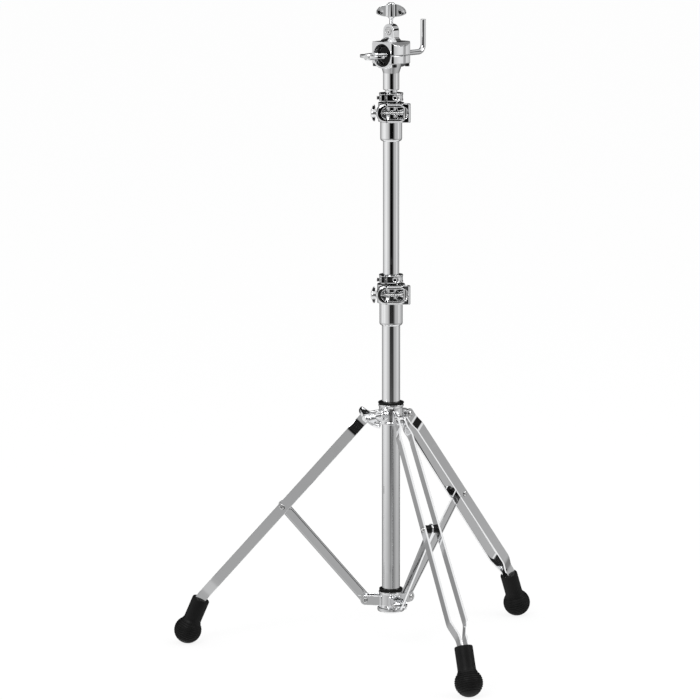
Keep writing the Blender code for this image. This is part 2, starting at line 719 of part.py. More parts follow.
def clamp_bush(tube_radius, tube_top, inner_radius):
    """The flanged nylon bush above a tube's end, round the next tube."""
    top = tube_top - CLAMP_UNDER_TUBE_TOP + CLAMP_HEIGHT + 2 * GAP
    outer = tube_radius
    flange = spigot_bore(tube_radius) + GAP
    bore = inner_radius + GAP
    outline = [(flange, top + BUSH_FLANGE), (flange, top), (outer, top), (outer, tube_top + GAP),
               (bore, tube_top + GAP), (bore, top + BUSH_FLANGE)]
    return baked(turned(outline, COLUMN_SIDES, ring=True))


def clamp_bolt_y(tube_radius):
    """How far in front of the column the clamp's bolt passes."""
    return -(spigot_bore(tube_radius) + BOLT_RADIUS + GAP)


def clamp(tube_radius, tube_top):
    """A split cast ring whose front window shows the bolt that closes it."""
    low = tube_top - CLAMP_UNDER_TUBE_TOP + GAP
    high = low + CLAMP_HEIGHT - GAP
    middle = (low + high) / 2
    bore = spigot_bore(tube_radius)
    bolt_y = clamp_bolt_y(tube_radius)
    front = bolt_y - CLAMP_FRONT / 2 - BOLT_RADIUS
    ring = rod(bore + CLAMP_WALL, (0, 0, low), (0, 0, high), COLUMN_SIDES)
    centre = (CLAMP_RIGHT - CLAMP_LEFT) / 2
    half = (CLAMP_RIGHT + CLAMP_LEFT) / 2
    depth = -front - bore / 2
    boss_frame = Matrix.Translation((centre, front + depth / 2, middle)) @ Matrix.Rotation(pi / 2, 4, "X")
    boss = plate(slot_outline(half + KNUCKLE_RADIUS / 2, CLAMP_HALF_HEIGHT), depth, boss_frame)
    knuckle = rod(KNUCKLE_RADIUS, (CLAMP_RIGHT, bolt_y, low + GAP), (CLAMP_RIGHT, bolt_y, high - GAP),
                  SMALL_SIDES)
    window_right = CLAMP_RIGHT + BARREL_RADIUS + 3 * GAP
    window_centre = (window_right - WINDOW_LEFT) / 2
    window_frame = Matrix.Translation((window_centre, front, middle)) @ Matrix.Rotation(pi / 2, 4, "X")
    window = plate(slot_outline((window_right + WINDOW_LEFT) / 2, WINDOW_HALF_HEIGHT),
                   2 * (abs(front) - bore * 0.8), window_frame)
    bore_tool = rod(bore, (0, 0, low - bore), (0, 0, high + bore), COLUMN_SIDES)
    barrel_hole = rod(BARREL_RADIUS + GAP, (CLAMP_RIGHT, bolt_y, low - GAP), (CLAMP_RIGHT, bolt_y, high + GAP),
                      SMALL_SIDES)
    bolt_hole = rod(BOLT_RADIUS + GAP, (-2 * CLAMP_LEFT, bolt_y, middle), (0, bolt_y, middle), SMALL_SIDES)
    slit = block((CLAMP_SLIT_X - CLAMP_SLIT / 2, 2 * front, low - GAP),
                 (CLAMP_SLIT_X + CLAMP_SLIT / 2, -bore / 2, high + GAP))
    return baked(cut(join(ring, boss, knuckle), window, bore_tool, barrel_hole, bolt_hole, slit))


def clamp_middle(tube_top):
    low = tube_top - CLAMP_UNDER_TUBE_TOP + GAP
    return low + (CLAMP_HEIGHT - GAP) / 2


def clamp_bolt(tube_radius, tube_top):
    """The T-bolt: a barrel in the clamp's knuckle and a shank that crosses the window."""
    y = clamp_bolt_y(tube_radius)
    z = clamp_middle(tube_top)
    half = CLAMP_HEIGHT / 2 - 4 * GAP
    barrel = rod(BARREL_RADIUS, (CLAMP_RIGHT, y, z - half), (CLAMP_RIGHT, y, z + half), SMALL_SIDES)
    end = -(clamp_left_face() + CLAMP_NUT_LENGTH * 0.75)
    shank = rod(BOLT_RADIUS, (CLAMP_RIGHT, y, z), (end, y, z), SMALL_SIDES)
    return baked(join(barrel, shank))


def clamp_left_face():
    """Where the clamp's boss ends on the side of the wing nut."""
    return (CLAMP_RIGHT + CLAMP_LEFT) / 2 + KNUCKLE_RADIUS / 2 - (CLAMP_RIGHT - CLAMP_LEFT) / 2


def clamp_nut(tube_radius, tube_top):
    """The wing nut at the left end of the T-bolt."""
    y = clamp_bolt_y(tube_radius)
    z = clamp_middle(tube_top)
    start = -(clamp_left_face() + GAP)
    end = start - CLAMP_NUT_LENGTH
    nut = rod(WING_HUB_RADIUS * 1.15, (start, y, z), (end, y, z), SMALL_SIDES)
    wings = wing_pair(CLAMP_NUT_SPAN, CLAMP_NUT_LENGTH * 0.9, WING_THICK * 1.15,
                      aligned((start, y, z), -X_AXIS, CLAMP_NUT_TURN))
    thread = rod(BOLT_RADIUS + GAP, (0, y, z), (start - CLAMP_NUT_LENGTH * 0.8, y, z), SMALL_SIDES)
    return baked(cut(join(nut, wings), thread))


def memory_bottom(tube_top):
    return tube_top + MEMORY_OVER_TUBE


def memory_ring(inner_radius, tube_top):
    """The stop ring above a clamp: split in front, where a boss takes its key screw."""
    low = memory_bottom(tube_top)
    high = low + MEMORY_HEIGHT
    middle = (low + high) / 2
    bore = inner_radius + GAP
    y = -MEMORY_BOLT_REACH
    ring = rod(MEMORY_RADIUS, (0, 0, low), (0, 0, high), COLUMN_SIDES)
    boss = block((-MEMORY_BOSS_LEFT, -MEMORY_BOSS_REACH, low + GAP), (MEMORY_BOSS_RIGHT, -bore, high - GAP))
    end = rod(MEMORY_HEIGHT / 2 - GAP, (MEMORY_BOSS_RIGHT, -MEMORY_BOSS_REACH, middle),
              (MEMORY_BOSS_RIGHT, -bore, middle), SMALL_SIDES)
    bore_tool = rod(bore, (0, 0, low - bore), (0, 0, high + bore), COLUMN_SIDES)
    hole = rod(MEMORY_BOLT_RADIUS + GAP, (-2 * MEMORY_BOSS_LEFT, y, middle), (MEMORY_BOSS_RIGHT, y, middle),
               SMALL_SIDES)
    slit = block((MEMORY_SLIT_X - MEMORY_SLIT / 2, -2 * MEMORY_BOSS_REACH, low - GAP),
                 (MEMORY_SLIT_X + MEMORY_SLIT / 2, -bore * 0.35, high + GAP))
    return baked(cut(join(ring, boss, end), bore_tool, hole, slit))


def memory_screw(tube_top):
    """A square-headed key screw across the stop ring's split."""
    middle = memory_bottom(tube_top) + MEMORY_HEIGHT / 2
    y = -MEMORY_BOLT_REACH
    face = -MEMORY_BOSS_LEFT - GAP
    shank = rod(MEMORY_BOLT_RADIUS, (face - GAP, y, middle), (MEMORY_BOSS_RIGHT - GAP, y, middle), SMALL_SIDES)
    flange = rod(MEMORY_SCREW_FLANGE, (face - BOLT_RADIUS * 0.6, y, middle), (face, y, middle), SMALL_SIDES)
    half = MEMORY_SCREW_HEAD / 2
    head = block((face - 2 * BOLT_RADIUS, y - half, middle - half), (face - GAP, y + half, middle + half))
    return baked(join(shank, flange, head))


def build_clamp(level, parent, moving, tube_radius, tube_top, inner_radius):
    """A height clamp on the tube that ends at this height, and the stop ring on the tube inside it."""
    front = frame(level + "_clamp_front", parent, (0, 0, 0), CLAMP_TURN)
    place(level + "_sleeve", sleeve(level, tube_radius, tube_top), CHROME, parent)
    place(level + "_clamp_bush", clamp_bush(tube_radius, tube_top, inner_radius), NYLON, parent)
    place(level + "_clamp", clamp(tube_radius, tube_top), CHROME, front)
    bolt_y = clamp_bolt_y(tube_radius)
    pivot = (CLAMP_RIGHT, bolt_y, clamp_middle(tube_top))
    bolt_axis = frame(level + "_bolt_axis", front, pivot)
    place(level + "_clamp_bolt", clamp_bolt(tube_radius, tube_top), STEEL, bolt_axis, pivot)
    place(level + "_wing_nut", clamp_nut(tube_radius, tube_top), CHROME, bolt_axis, pivot)
    ring_front = frame(level + "_ring_front", moving, (0, 0, 0), CLAMP_TURN)
    place(level + "_memory_ring", memory_ring(inner_radius, tube_top), CHROME, ring_front)
    place(level + "_memory_screw", memory_screw(tube_top), STEEL, ring_front)


# Ball holder, in a frame with +X along the rod, its centre in the ball


def cavity_tools():
    """The ball's seat and its two open mouths."""
    tools = [sphere(HOLDER_BALL_RADIUS + GAP, (0, 0, 0), 24, 14)]
    for side in (-1, 1):
        slope = (CAVITY_MOUTH_RADIUS - CAVITY_THROAT_RADIUS) / (HOLDER_HALF_LENGTH - CAVITY_THROAT_X)
        beyond = 4 * GAP
        tools.append(rod(CAVITY_THROAT_RADIUS - slope * beyond, (side * (CAVITY_THROAT_X - beyond), 0, 0),
                         (side * (HOLDER_HALF_LENGTH + beyond), 0, 0), COLUMN_SIDES,
                         end_radius=CAVITY_MOUTH_RADIUS + slope * beyond))
    return tools


def bore_section(outline, half_length):
    """Extrude an outline of (across, up) points along the holder's bore."""
    across = Matrix.Rotation(pi / 2, 4, "Z") @ Matrix.Rotation(pi / 2, 4, "X")
    return plate(outline, 2 * half_length, across)


def holder_base():
    """The lower half of the ball housing, on the neck that takes the upper tube."""
    half = HOLDER_HALF_WIDTH
    side = [(half, -GAP / 2), (half, -HOLDER_LEDGE * 0.65), (half * 0.95, -HOLDER_LEDGE * 0.97)]
    start = asin(HOLDER_LEDGE / HOLDER_UNDER_RADIUS)
    outline = list(side)
    for step in range(9):
        turn = start + (pi - 2 * start) * step / 8
        outline.append((HOLDER_UNDER_RADIUS * cos(turn), -HOLDER_UNDER_RADIUS * sin(turn)))
    outline += [(-x, z) for x, z in reversed(side)]
    piece = bore_section(outline, HOLDER_HALF_LENGTH)
    funnel = rod(HOLDER_NECK_RADIUS - 2 * GAP, (0, 0, -HOLDER_TAPER), (0, 0, -HOLDER_LEDGE + GAP), COLUMN_SIDES,
                 end_radius=HOLDER_FUNNEL_RADIUS)
    neck = rod(HOLDER_NECK_RADIUS, (0, 0, -HOLDER_NECK_END), (0, 0, GAP * 8 - HOLDER_TAPER), COLUMN_SIDES)
    tube_bore = rod(UPPER_TUBE_RADIUS + GAP, (0, 0, -HOLDER_NECK_END - GAP),
                    (0, 0, GAP - HOLDER_TUBE_SEAT), COLUMN_SIDES)
    return baked(cut(join(piece, funnel, neck), *cavity_tools(), tube_bore))


def holder_cap():
    """The upper half of the housing, with the lug that holds the top bolt's barrel nut."""
    half = HOLDER_HALF_WIDTH
    side = [(CAP_TOP_HALF_WIDTH, CAP_TOP), (half, CAP_SHOULDER), (half, GAP / 2)]
    outline = [(-x, z) for x, z in side] + side[::-1]
    piece = bore_section(outline, HOLDER_HALF_LENGTH)
    lug = [(-LUG_FLARE, CAP_TOP - GAP), (LUG_FLARE, CAP_TOP - GAP), (LUG_RADIUS, CAP_TOP + LUG_RADIUS / 2)]
    for step in range(9):
        turn = pi * step / 8
        lug.append((LUG_RADIUS * cos(turn), LUG_AXIS_RISE + LUG_RADIUS * sin(turn)))
    lug.append((-LUG_RADIUS, CAP_TOP + LUG_RADIUS / 2))
    lug_body = bore_section([(x, z) for x, z in lug], LUG_HALF_THICK)
    plinth = rod(LUG_FLARE * 0.98, (0, 0, CAP_TOP - GAP), (0, 0, CAP_TOP + LUG_RADIUS * 0.6), SMALL_SIDES,
                 end_radius=LUG_HALF_THICK * 1.1)
    reach = LUG_HALF_THICK * 2
    nut_hole = rod(BARREL_NUT_RADIUS + GAP, (-reach, 0, LUG_AXIS_RISE), (reach, 0, LUG_AXIS_RISE), SMALL_SIDES)
    bolt_hole = rod(BOLT_RADIUS + GAP, (0, 0, 0), (0, 0, 2 * LUG_AXIS_RISE), SMALL_SIDES)
    return baked(cut(join(piece, plinth, lug_body), *cavity_tools(), nut_hole, bolt_hole))


def barrel_nut():
    half = LUG_HALF_THICK + GAP
    piece = rod(BARREL_NUT_RADIUS, (-half, 0, LUG_AXIS_RISE), (half, 0, LUG_AXIS_RISE), SMALL_SIDES)
    hole = rod(BOLT_RADIUS + GAP, (0, 0, 0), (0, 0, 2 * LUG_AXIS_RISE), SMALL_SIDES)
    return baked(cut(piece, hole))


def holder_ball():
    """A nylon ball with flat ends, bored for the rod's collet and for the wing screw."""
    start = asin(HOLDER_BALL_HALF_LENGTH / HOLDER_BALL_RADIUS)
    outline = []
    for step in range(9):
        turn = start - 2 * start * step / 8
        outline.append((HOLDER_BALL_RADIUS * cos(turn), HOLDER_BALL_RADIUS * sin(turn)))
    collet_bore = COLLET_RADIUS + GAP
    bolt_bore = BALL_BOLT_RADIUS + GAP
    seat = COLLET_START - GAP
    outline += [(bolt_bore, -HOLDER_BALL_HALF_LENGTH), (bolt_bore, seat), (collet_bore, seat),
                (collet_bore, HOLDER_BALL_HALF_LENGTH)]
    return baked(turned(outline, COLUMN_SIDES, axis=X_AXIS, ring=True))


def rod_collet():
    outline = ring_outline(ROD_RADIUS + GAP, COLLET_RADIUS, COLLET_START, HOLDER_BALL_HALF_LENGTH)
    return baked(turned(outline, SMALL_SIDES, axis=X_AXIS, ring=True))


def drum_rod():
    """The bent rod, from its inner end in the ball, out and up."""
    points = [Vector((ROD_INNER_END, 0, 0))]
    for step in range(ROD_BEND_STEPS + 1):
        turn = pi / 2 * step / ROD_BEND_STEPS
        points.append(Vector((ROD_REACH - ROD_BEND + ROD_BEND * sin(turn), 0, ROD_BEND - ROD_BEND * cos(turn))))
    points.append(Vector((ROD_REACH, 0, ROD_RISE)))
    return baked(bent_rod(points, ROD_RADIUS))


def build_holder(upper):
    centre = frame("holder_centre", upper, (0, 0, HOLDER_RISE), HOLDER_TURN)
    place("holder_base", holder_base(), CHROME, centre)
    place("holder_cap", holder_cap(), CHROME, centre)
    place("holder_barrel_nut", barrel_nut(), STEEL, centre)
    top_bolt = wing_bolt((0, 0, HOLDER_BALL_RADIUS + 2 * GAP), (0, 0, TOP_WING_RISE), BOLT_RADIUS,
                         CLAMP_TURN - HOLDER_TURN)
    place("holder_wing_bolt", top_bolt, CHROME, centre)
    place("holder_ball", holder_ball(), NYLON, centre)
    place("rod_collet", rod_collet(), NYLON, centre)
    tip = COLLET_START - 2 * GAP
    ball_screw = wing_bolt((tip, 0, 0), (-BALL_WING_REACH, 0, 0), BALL_BOLT_RADIUS)
    place("ball_wing_screw", ball_screw, CHROME, centre)
    place("drum_rod", drum_rod(), CHROME, centre)


def build_stand():
    column = frame("column_axis", None, (0, COLUMN_Y, 0))
    build_legs(column)
    place("base_tube", tube(BASE_TUBE_RADIUS, BASE_TUBE_WALL, COLUMN_BOTTOM, BASE_TUBE_TOP), CHROME, column)
    place("lower_collar", lower_collar(), CHROME, column)
    place("bottom_cap", bottom_cap(), CHROME, column)
    collar_top = COLUMN_BOTTOM + COLLAR_HEIGHT + GAP
    low_ring = ring_outline(BASE_TUBE_RADIUS + GAP, LOW_RING_RADIUS, collar_top, collar_top + LOW_RING_HEIGHT)
    place("collar_bumper", baked(turned(low_ring, COLUMN_SIDES, ring=True)), RUBBER, column)
    hub_axis = frame("hub_axis", column, (0, 0, 0))
    place("hub", hub(), CHROME, hub_axis)
    place("hub_bush", hub_bush(), NYLON, hub_axis)
    height = TOP_PIVOT_Z + HUB_BOLT_RISE
    outward = around(HUB_BOLT_ANGLE, X_AXIS)
    tip = (BASE_TUBE_RADIUS + HUB_BUSH_WALL + 2 * GAP) * outward + height * Z_AXIS
    base = HUB_WING_REACH * outward + height * Z_AXIS
    place("hub_wing_bolt", wing_bolt(tip, base, BOLT_RADIUS, HUB_WING_TURN), CHROME, hub_axis)
    middle = frame("middle_axis", column, (0, 0, 0))
    upper = frame("upper_axis", middle, (0, 0, 0))
    build_clamp("lower", column, middle, BASE_TUBE_RADIUS, BASE_TUBE_TOP, MIDDLE_TUBE_RADIUS)
    place("middle_tube", tube(MIDDLE_TUBE_RADIUS, MIDDLE_TUBE_WALL, MIDDLE_TUBE_BOTTOM, MIDDLE_TUBE_TOP),
          CHROME, middle)
    build_clamp("upper", middle, upper, MIDDLE_TUBE_RADIUS, MIDDLE_TUBE_TOP, UPPER_TUBE_RADIUS)
    place("upper_tube", tube(UPPER_TUBE_RADIUS, UPPER_TUBE_WALL, UPPER_TUBE_BOTTOM, UPPER_TUBE_TOP),
          CHROME, upper)
    build_holder(upper)
    bpy.context.view_layer.update()


build_stand()
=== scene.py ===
# %% [markdown]
# # A chromed single tom stand
#
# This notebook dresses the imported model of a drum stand: a folding tripod, a column with two height
# clamps, and a ball holder whose bent rod carries one drum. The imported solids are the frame. Whatever
# is round, cast or moulded is modelled again here with finer edges, and rides on the body that carries it.

import json
from math import asin, atan2, cos, pi, radians, sin, sqrt

import bmesh
import bpy
from mathutils import Matrix, Vector


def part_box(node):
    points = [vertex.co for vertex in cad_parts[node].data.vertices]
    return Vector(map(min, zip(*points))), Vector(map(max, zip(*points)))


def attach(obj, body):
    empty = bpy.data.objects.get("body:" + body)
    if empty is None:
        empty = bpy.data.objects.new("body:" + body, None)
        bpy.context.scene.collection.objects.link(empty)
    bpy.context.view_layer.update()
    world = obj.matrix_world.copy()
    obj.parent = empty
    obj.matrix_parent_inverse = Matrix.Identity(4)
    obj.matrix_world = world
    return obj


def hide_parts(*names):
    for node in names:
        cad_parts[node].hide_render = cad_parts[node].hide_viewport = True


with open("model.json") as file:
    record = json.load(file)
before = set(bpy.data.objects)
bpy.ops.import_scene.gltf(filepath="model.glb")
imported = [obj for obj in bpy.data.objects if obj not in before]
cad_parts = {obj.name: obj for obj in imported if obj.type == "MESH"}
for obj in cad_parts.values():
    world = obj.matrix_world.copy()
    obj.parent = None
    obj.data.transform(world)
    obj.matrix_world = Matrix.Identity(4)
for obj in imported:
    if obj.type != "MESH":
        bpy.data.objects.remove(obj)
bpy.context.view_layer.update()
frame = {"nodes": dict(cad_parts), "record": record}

# %% [markdown]
# ## The camera
#
# A stand in a catalogue is photographed from far away with a long lens, so that its legs hardly
# converge. The camera stands as high as the shot needs to look down a little on the feet. Its place
# was worked out from the feet, the pivots and the tubes, whose sizes are known.

# %% Place the camera
COLUMN_Y = 0.0825
VIEW_TURN = 0.36646
CAMERA_DISTANCE = 6.51463
CAMERA_HEIGHT = 1.52487
CAMERA_PITCH = 0.15840
CAMERA_YAW = -0.00992
CAMERA_ROLL = -0.00113
FOCAL_PIXELS = 4189.33
PICTURE_PIXELS = 700
SENSOR_WIDTH = 36.0


def place_camera():
    """Stands the camera in front of the column, turned to the left of the front leg."""
    data = bpy.data.cameras.new("camera")
    data.sensor_width = SENSOR_WIDTH
    data.lens = SENSOR_WIDTH * FOCAL_PIXELS / PICTURE_PIXELS
    camera = bpy.data.objects.new("camera", data)
    bpy.context.scene.collection.objects.link(camera)
    turn = Matrix.Rotation(-VIEW_TURN, 4, "Z")
    away = Matrix.Translation((0, -CAMERA_DISTANCE, CAMERA_HEIGHT))
    aim = Matrix.Rotation(-CAMERA_YAW, 4, "Z") @ Matrix.Rotation(pi / 2 - CAMERA_PITCH, 4, "X")
    stand = Matrix.Translation((0, COLUMN_Y, 0)) @ turn @ away
    camera.matrix_world = stand @ aim @ Matrix.Rotation(CAMERA_ROLL, 4, "Z")
    bpy.context.scene.camera = camera
    print("camera at", [round(value, 3) for value in camera.matrix_world.translation])


place_camera()

# %% [markdown]
# ## Shader maths
#
# Blender's materials are graphs of nodes. A long formula is easier to read as Python, so a small class
# wraps a socket, and every operator on it adds the Math node that does the same.


# %% A graph that is written as formulas
class Wire:
    """One output socket of a graph, with arithmetic that adds Math nodes."""

    def __init__(self, graph, socket):
        self.graph = graph
        self.socket = socket

    def _math(self, operation, first, second):
        return self.graph.add("ShaderNodeMath", {"operation": operation}, first, second)

    def __add__(self, other):
        return self._math("ADD", self, other)

    def __sub__(self, other):
        return self._math("SUBTRACT", self, other)

    def __rsub__(self, other):
        return self._math("SUBTRACT", other, self)

    def __mul__(self, other):
        return self._math("MULTIPLY", self, other)

    def __truediv__(self, other):
        return self._math("DIVIDE", self, other)

    def __rtruediv__(self, other):
        return self._math("DIVIDE", other, self)

    __radd__ = __add__
    __rmul__ = __mul__


class Graph:
    """A node tree, and one method that adds any node to it."""

    def __init__(self, tree):
        self.tree = tree

    def add(self, kind, settings=None, *values, output=0, **named):
        """Adds a node, sets it up, fills its sockets in order or by name, and returns an output."""
        node = self.tree.nodes.new(kind)
        for key, value in (settings or {}).items():
            if key == "stops":
                self.set_stops(node.color_ramp.elements, value)
            else:
                setattr(node, key, value)
        for index, value in enumerate(values):
            self.fill(node.inputs[index], value)
        for key, value in named.items():
            self.fill(node.inputs[key], value)
        return None if output is None else Wire(self, node.outputs[output])

    def ramp(self, value, stops):
        """Turns a value into a level of grey between stops of (place, level)."""
        return self.add("ShaderNodeValToRGB", {"stops": stops}, value)

    def mix(self, factor, first, second, blend="MIX"):
        """Mixes two colours, because a Math node would turn them grey."""
        mixed = self.add("ShaderNodeMix", {"data_type": "RGBA", "blend_type": blend}, output=2)
        for index, value in ((0, factor), (6, first), (7, second)):
            self.fill(mixed.socket.node.inputs[index], value)
        return mixed

    def fill(self, socket, value):
        """Links a wire to a socket, or writes a plain value into it."""
        if isinstance(value, Wire):
            self.tree.links.new(value.socket, socket)
        else:
            socket.default_value = value

    @staticmethod
    def set_stops(elements, stops):
        while len(elements) < len(stops):
            elements.new(1.0)
        for element, (place, level) in zip(elements, stops):
            element.position = place
            element.color = (level, level, level, 1.0)


# %% [markdown]
# ## The studio
#
# Chrome has no colour of its own: it shows the room. The walls are shades of grey all around, with a
# dark slot where the camera looks in, so each tube wears one dark stripe between two pale ones. The
# floor straight below and the near half of the roof are white, and the far half of the roof is dark.
# That room is drawn in the world, for reflections alone. What the camera sees directly is plain white,
# and what lights the rubber is an even soft light.

# %% Draw the room that the chrome reflects
WHITE = (1.0, 1.0, 1.0, 1.0)
BLACK = (0.0, 0.0, 0.0, 1.0)
EYE_WALLS = ((0, 0.07), (0.06, 0.2), (0.12, 0.44), (0.205, 0.74), (0.25, 1), (0.262, 1), (0.266, 0.68),
             (0.276, 0.68), (0.28, 1), (0.29, 1), (0.322, 0.92), (0.369, 0.7), (0.413, 0.62), (0.44, 0.38),
             (0.455, 0.38), (0.462, 0.01), (0.5, 0.002), (0.56, 0.004), (0.59, 0.2), (0.615, 0.45),
             (0.631, 0.53), (0.69, 0.53), (0.733, 0.84), (0.768, 0.8), (0.776, 0.38), (0.793, 0.38),
             (0.8, 0.76), (0.83, 0.6), (0.88, 0.31), (1, 0.07))
LOW_WALLS = ((0, 0.05), (0.06, 0.12), (0.12, 0.3), (0.2, 0.58), (0.27, 0.68), (0.32, 0.6), (0.37, 0.55),
             (0.41, 0.46), (0.458, 0.42), (0.475, 0.26), (0.5, 0.42), (0.53, 0.4), (0.56, 0.2), (0.6, 0.24),
             (0.66, 0.42), (0.72, 0.5), (0.79, 0.47), (0.85, 0.36), (0.9, 0.1), (1, 0.05))
HIGH_WALLS = ((0, 0.02), (0.18, 0.02), (0.21, 0.7), (0.3, 0.8), (0.33, 0.05), (0.44, 0.02), (0.6, 0.01),
              (0.8, 0.02), (0.82, 0.6), (0.86, 0.4), (0.88, 0.02), (1, 0.02))
FADE_TO_LOW = ((0.396, 1), (0.403, 0.75), (0.408, 0.4), (0.4175, 0.15), (0.425, 0.06), (0.4325, 0))
FADE_TO_HIGH = ((0.51, 0), (0.535, 1))
FLOOR_COVER = ((0, 1), (0.15, 1), (0.16, 0.02), (0.26, 0.02), (0.275, 0), (1, 0))
ROOF_COVER = ((0, 0), (0.7, 0), (0.715, 1), (0.745, 1), (0.752, 0.02), (0.8, 0.02), (0.81, 1), (1, 1))
ROOF_NEAR = ((0, 1), (0.62, 1), (0.68, 0), (1, 0))
EVEN_LIGHT = 0.97


def draw_room():
    """Three rings of grey walls under a roof and over a floor, for reflections alone."""
    world = bpy.data.worlds.new("studio")
    bpy.context.scene.world = world
    world.use_nodes = True
    world.node_tree.nodes.clear()
    graph = Graph(world.node_tree)
    direction = graph.add("ShaderNodeTexCoord", output="Generated")
    facing = graph.add("ShaderNodeVectorRotate", {"rotation_type": "Z_AXIS"}, direction, Angle=VIEW_TURN)
    side, ahead, up = [graph.add("ShaderNodeSeparateXYZ", None, facing, output=axis) for axis in "XYZ"]
    height = up * 0.5 + 0.5
    turn = graph.add("ShaderNodeMath", {"operation": "ARCTAN2"}, side, ahead * -1) / (2 * pi) + 0.5
    eye, low, high = [graph.ramp(turn, stops) for stops in (EYE_WALLS, LOW_WALLS, HIGH_WALLS)]
    walls = graph.mix(graph.ramp(height, FADE_TO_LOW), eye, low)
    walls = graph.mix(graph.ramp(height, FADE_TO_HIGH), walls, high)
    roof = graph.mix(graph.ramp(ahead * 0.5 + 0.5, ROOF_NEAR), BLACK, graph.ramp(height, ROOF_COVER))
    cover = graph.mix(1.0, graph.ramp(height, FLOOR_COVER), roof, "LIGHTEN")
    room = graph.mix(cover, walls, WHITE)
    seen = graph.add("ShaderNodeLightPath", output="Is Camera Ray")
    glossy = graph.add("ShaderNodeLightPath", output="Is Glossy Ray")
    even = graph.add("ShaderNodeBackground", None, WHITE, EVEN_LIGHT)
    mirror = graph.add("ShaderNodeBackground", None, room, 1.0)
    behind = graph.add("ShaderNodeBackground", None, WHITE, 1.0)
    light = graph.add("ShaderNodeMixShader", None, glossy, even, mirror)
    whole = graph.add("ShaderNodeMixShader", None, seen, light, behind)
    graph.add("ShaderNodeOutputWorld", None, whole, output=None)


draw_room()
print("room with", len(EYE_WALLS) + len(LOW_WALLS) + len(HIGH_WALLS), "wall levels")

# %% Hang two soft lamps and lay the floor
FLOOR_SIZE = 60
FLOOR_GREY = (0.93, 0.93, 0.93, 1.0)
FLOOR_SEEN_WHITE = 0.85


def soft_lamp(name, place, target, size, power):
    """A square lamp that faces a point."""
    data = bpy.data.lights.new(name, "AREA")
    data.shape = "RECTANGLE"
    data.size = data.size_y = size
    data.energy = power
    lamp = bpy.data.objects.new(name, data)
    bpy.context.scene.collection.objects.link(lamp)
    lamp.location = place
    lamp.rotation_euler = (Vector(target) - Vector(place)).to_track_quat("-Z", "Y").to_euler()


def pale_floor():
    """A matt grey that the camera sees as nearly white, so that only soft shadows show."""
    material = bpy.data.materials.new("pale_floor")
    material.use_nodes = True
    graph = Graph(material.node_tree)
    matt = graph.add("ShaderNodeBsdfDiffuse", None, FLOOR_GREY)
    white = graph.add("ShaderNodeEmission", None, WHITE, 1.0)
    seen = graph.add("ShaderNodeLightPath", output="Is Camera Ray")
    surface = graph.add("ShaderNodeMixShader", None, seen * FLOOR_SEEN_WHITE, matt, white)
    graph.fill(material.node_tree.nodes["Material Output"].inputs["Surface"], surface)
    return material


soft_lamp("key_lamp", (-2.6, -2.4, 3.0), (0, 0, 0.5), 1.6, 60)
soft_lamp("fill_lamp", (2.8, -1.8, 2.2), (0, 0, 0.4), 1.4, 25)
bpy.ops.object.select_all(action="DESELECT")
bpy.ops.mesh.primitive_plane_add(size=FLOOR_SIZE, location=(0, 0, 0))
floor = bpy.context.object
floor.name = "studio_floor"
floor.visible_glossy = False
floor.data.materials.append(pale_floor())
bpy.context.scene.view_settings.view_transform = "Standard"

# %% [markdown]
# ## Finishes
#
# Chrome plate is nearly a mirror, but never a perfect one. Drawn tube shows a faint grain along its
# length, rolled bar a flatter one, and a casting keeps a soft unevenness under the plate, so each gets
# its own bump. Zinc on the screws is duller. Rubber and nylon are black, with a moulded grain and a
# little dust. All patterns read Object coordinates, so they stay with the piece when it moves.

# %% Helpers for a finish
EVEN = (1.0, 1.0, 1.0)
PLATE_CLOUDS = 14.0
PLATE_SCUFFS = 700.0
PLATE_HAZE = 45.0
HAZE_FROM = 0.58
BLACK_CLOUDS = 60.0
BLACK_GRAIN = 1600.0


def grain(graph, scale, stretch=EVEN, detail=3.0):
    """Noise of this scale to the metre, drawn out along an axis by a stretch below 1."""
    place = graph.add("ShaderNodeTexCoord", output="Object")
    place = graph.add("ShaderNodeMapping", None, place, Scale=stretch)
    return graph.add("ShaderNodeTexNoise", None, Vector=place, Scale=scale, Detail=detail)


def blank_finish(name, cloud_scale, shades):
    """A new material clouded between two shades, its graph, its shader's sockets and its clouds."""
    material = bpy.data.materials.new(name)
    material.use_nodes = True
    graph = Graph(material.node_tree)
    sockets = material.node_tree.nodes["Principled BSDF"].inputs
    cloud = grain(graph, cloud_scale)
    dark, light = shades
    graph.fill(sockets["Base Color"], graph.mix(cloud, (*dark, 1.0), (*light, 1.0)))
    return material, graph, sockets, cloud


def plated_metal(name, shades, roughness, wave, wave_scale, wave_height, stretch=EVEN):
    """A metal whose shade, gloss and surface all vary a little."""
    material, graph, sockets, _ = blank_finish(name, PLATE_CLOUDS, shades)
    graph.fill(sockets["Metallic"], 1.0)
    scuff = grain(graph, PLATE_SCUFFS, stretch)
    haze = grain(graph, PLATE_HAZE) - HAZE_FROM
    haze = graph.add("ShaderNodeMath", {"operation": "SMOOTH_MAX"}, haze, 0.0, 0.05)
    graph.fill(sockets["Roughness"], scuff * 0.03 + haze * 0.5 + roughness)
    height = grain(graph, wave_scale, stretch, 2.0) * wave + scuff * 0.04
    bump = graph.add("ShaderNodeBump", None, Strength=1.0, Distance=wave_height, Height=height)
    graph.fill(sockets["Normal"], bump)
    return material


def moulded_black(name, shades, roughness, gloss, grain_height):
    """A black moulding with a fine grain and a breath of dust."""
    material, graph, sockets, cloud = blank_finish(name, BLACK_CLOUDS, shades)
    skin = grain(graph, BLACK_GRAIN)
    graph.fill(sockets["Specular IOR Level"], gloss)
    graph.fill(sockets["Roughness"], cloud * 0.12 + skin * 0.08 + roughness)
    bump = graph.add("ShaderNodeBump", None, Strength=0.5, Distance=grain_height, Height=skin)
    graph.fill(sockets["Normal"], bump)
    return material


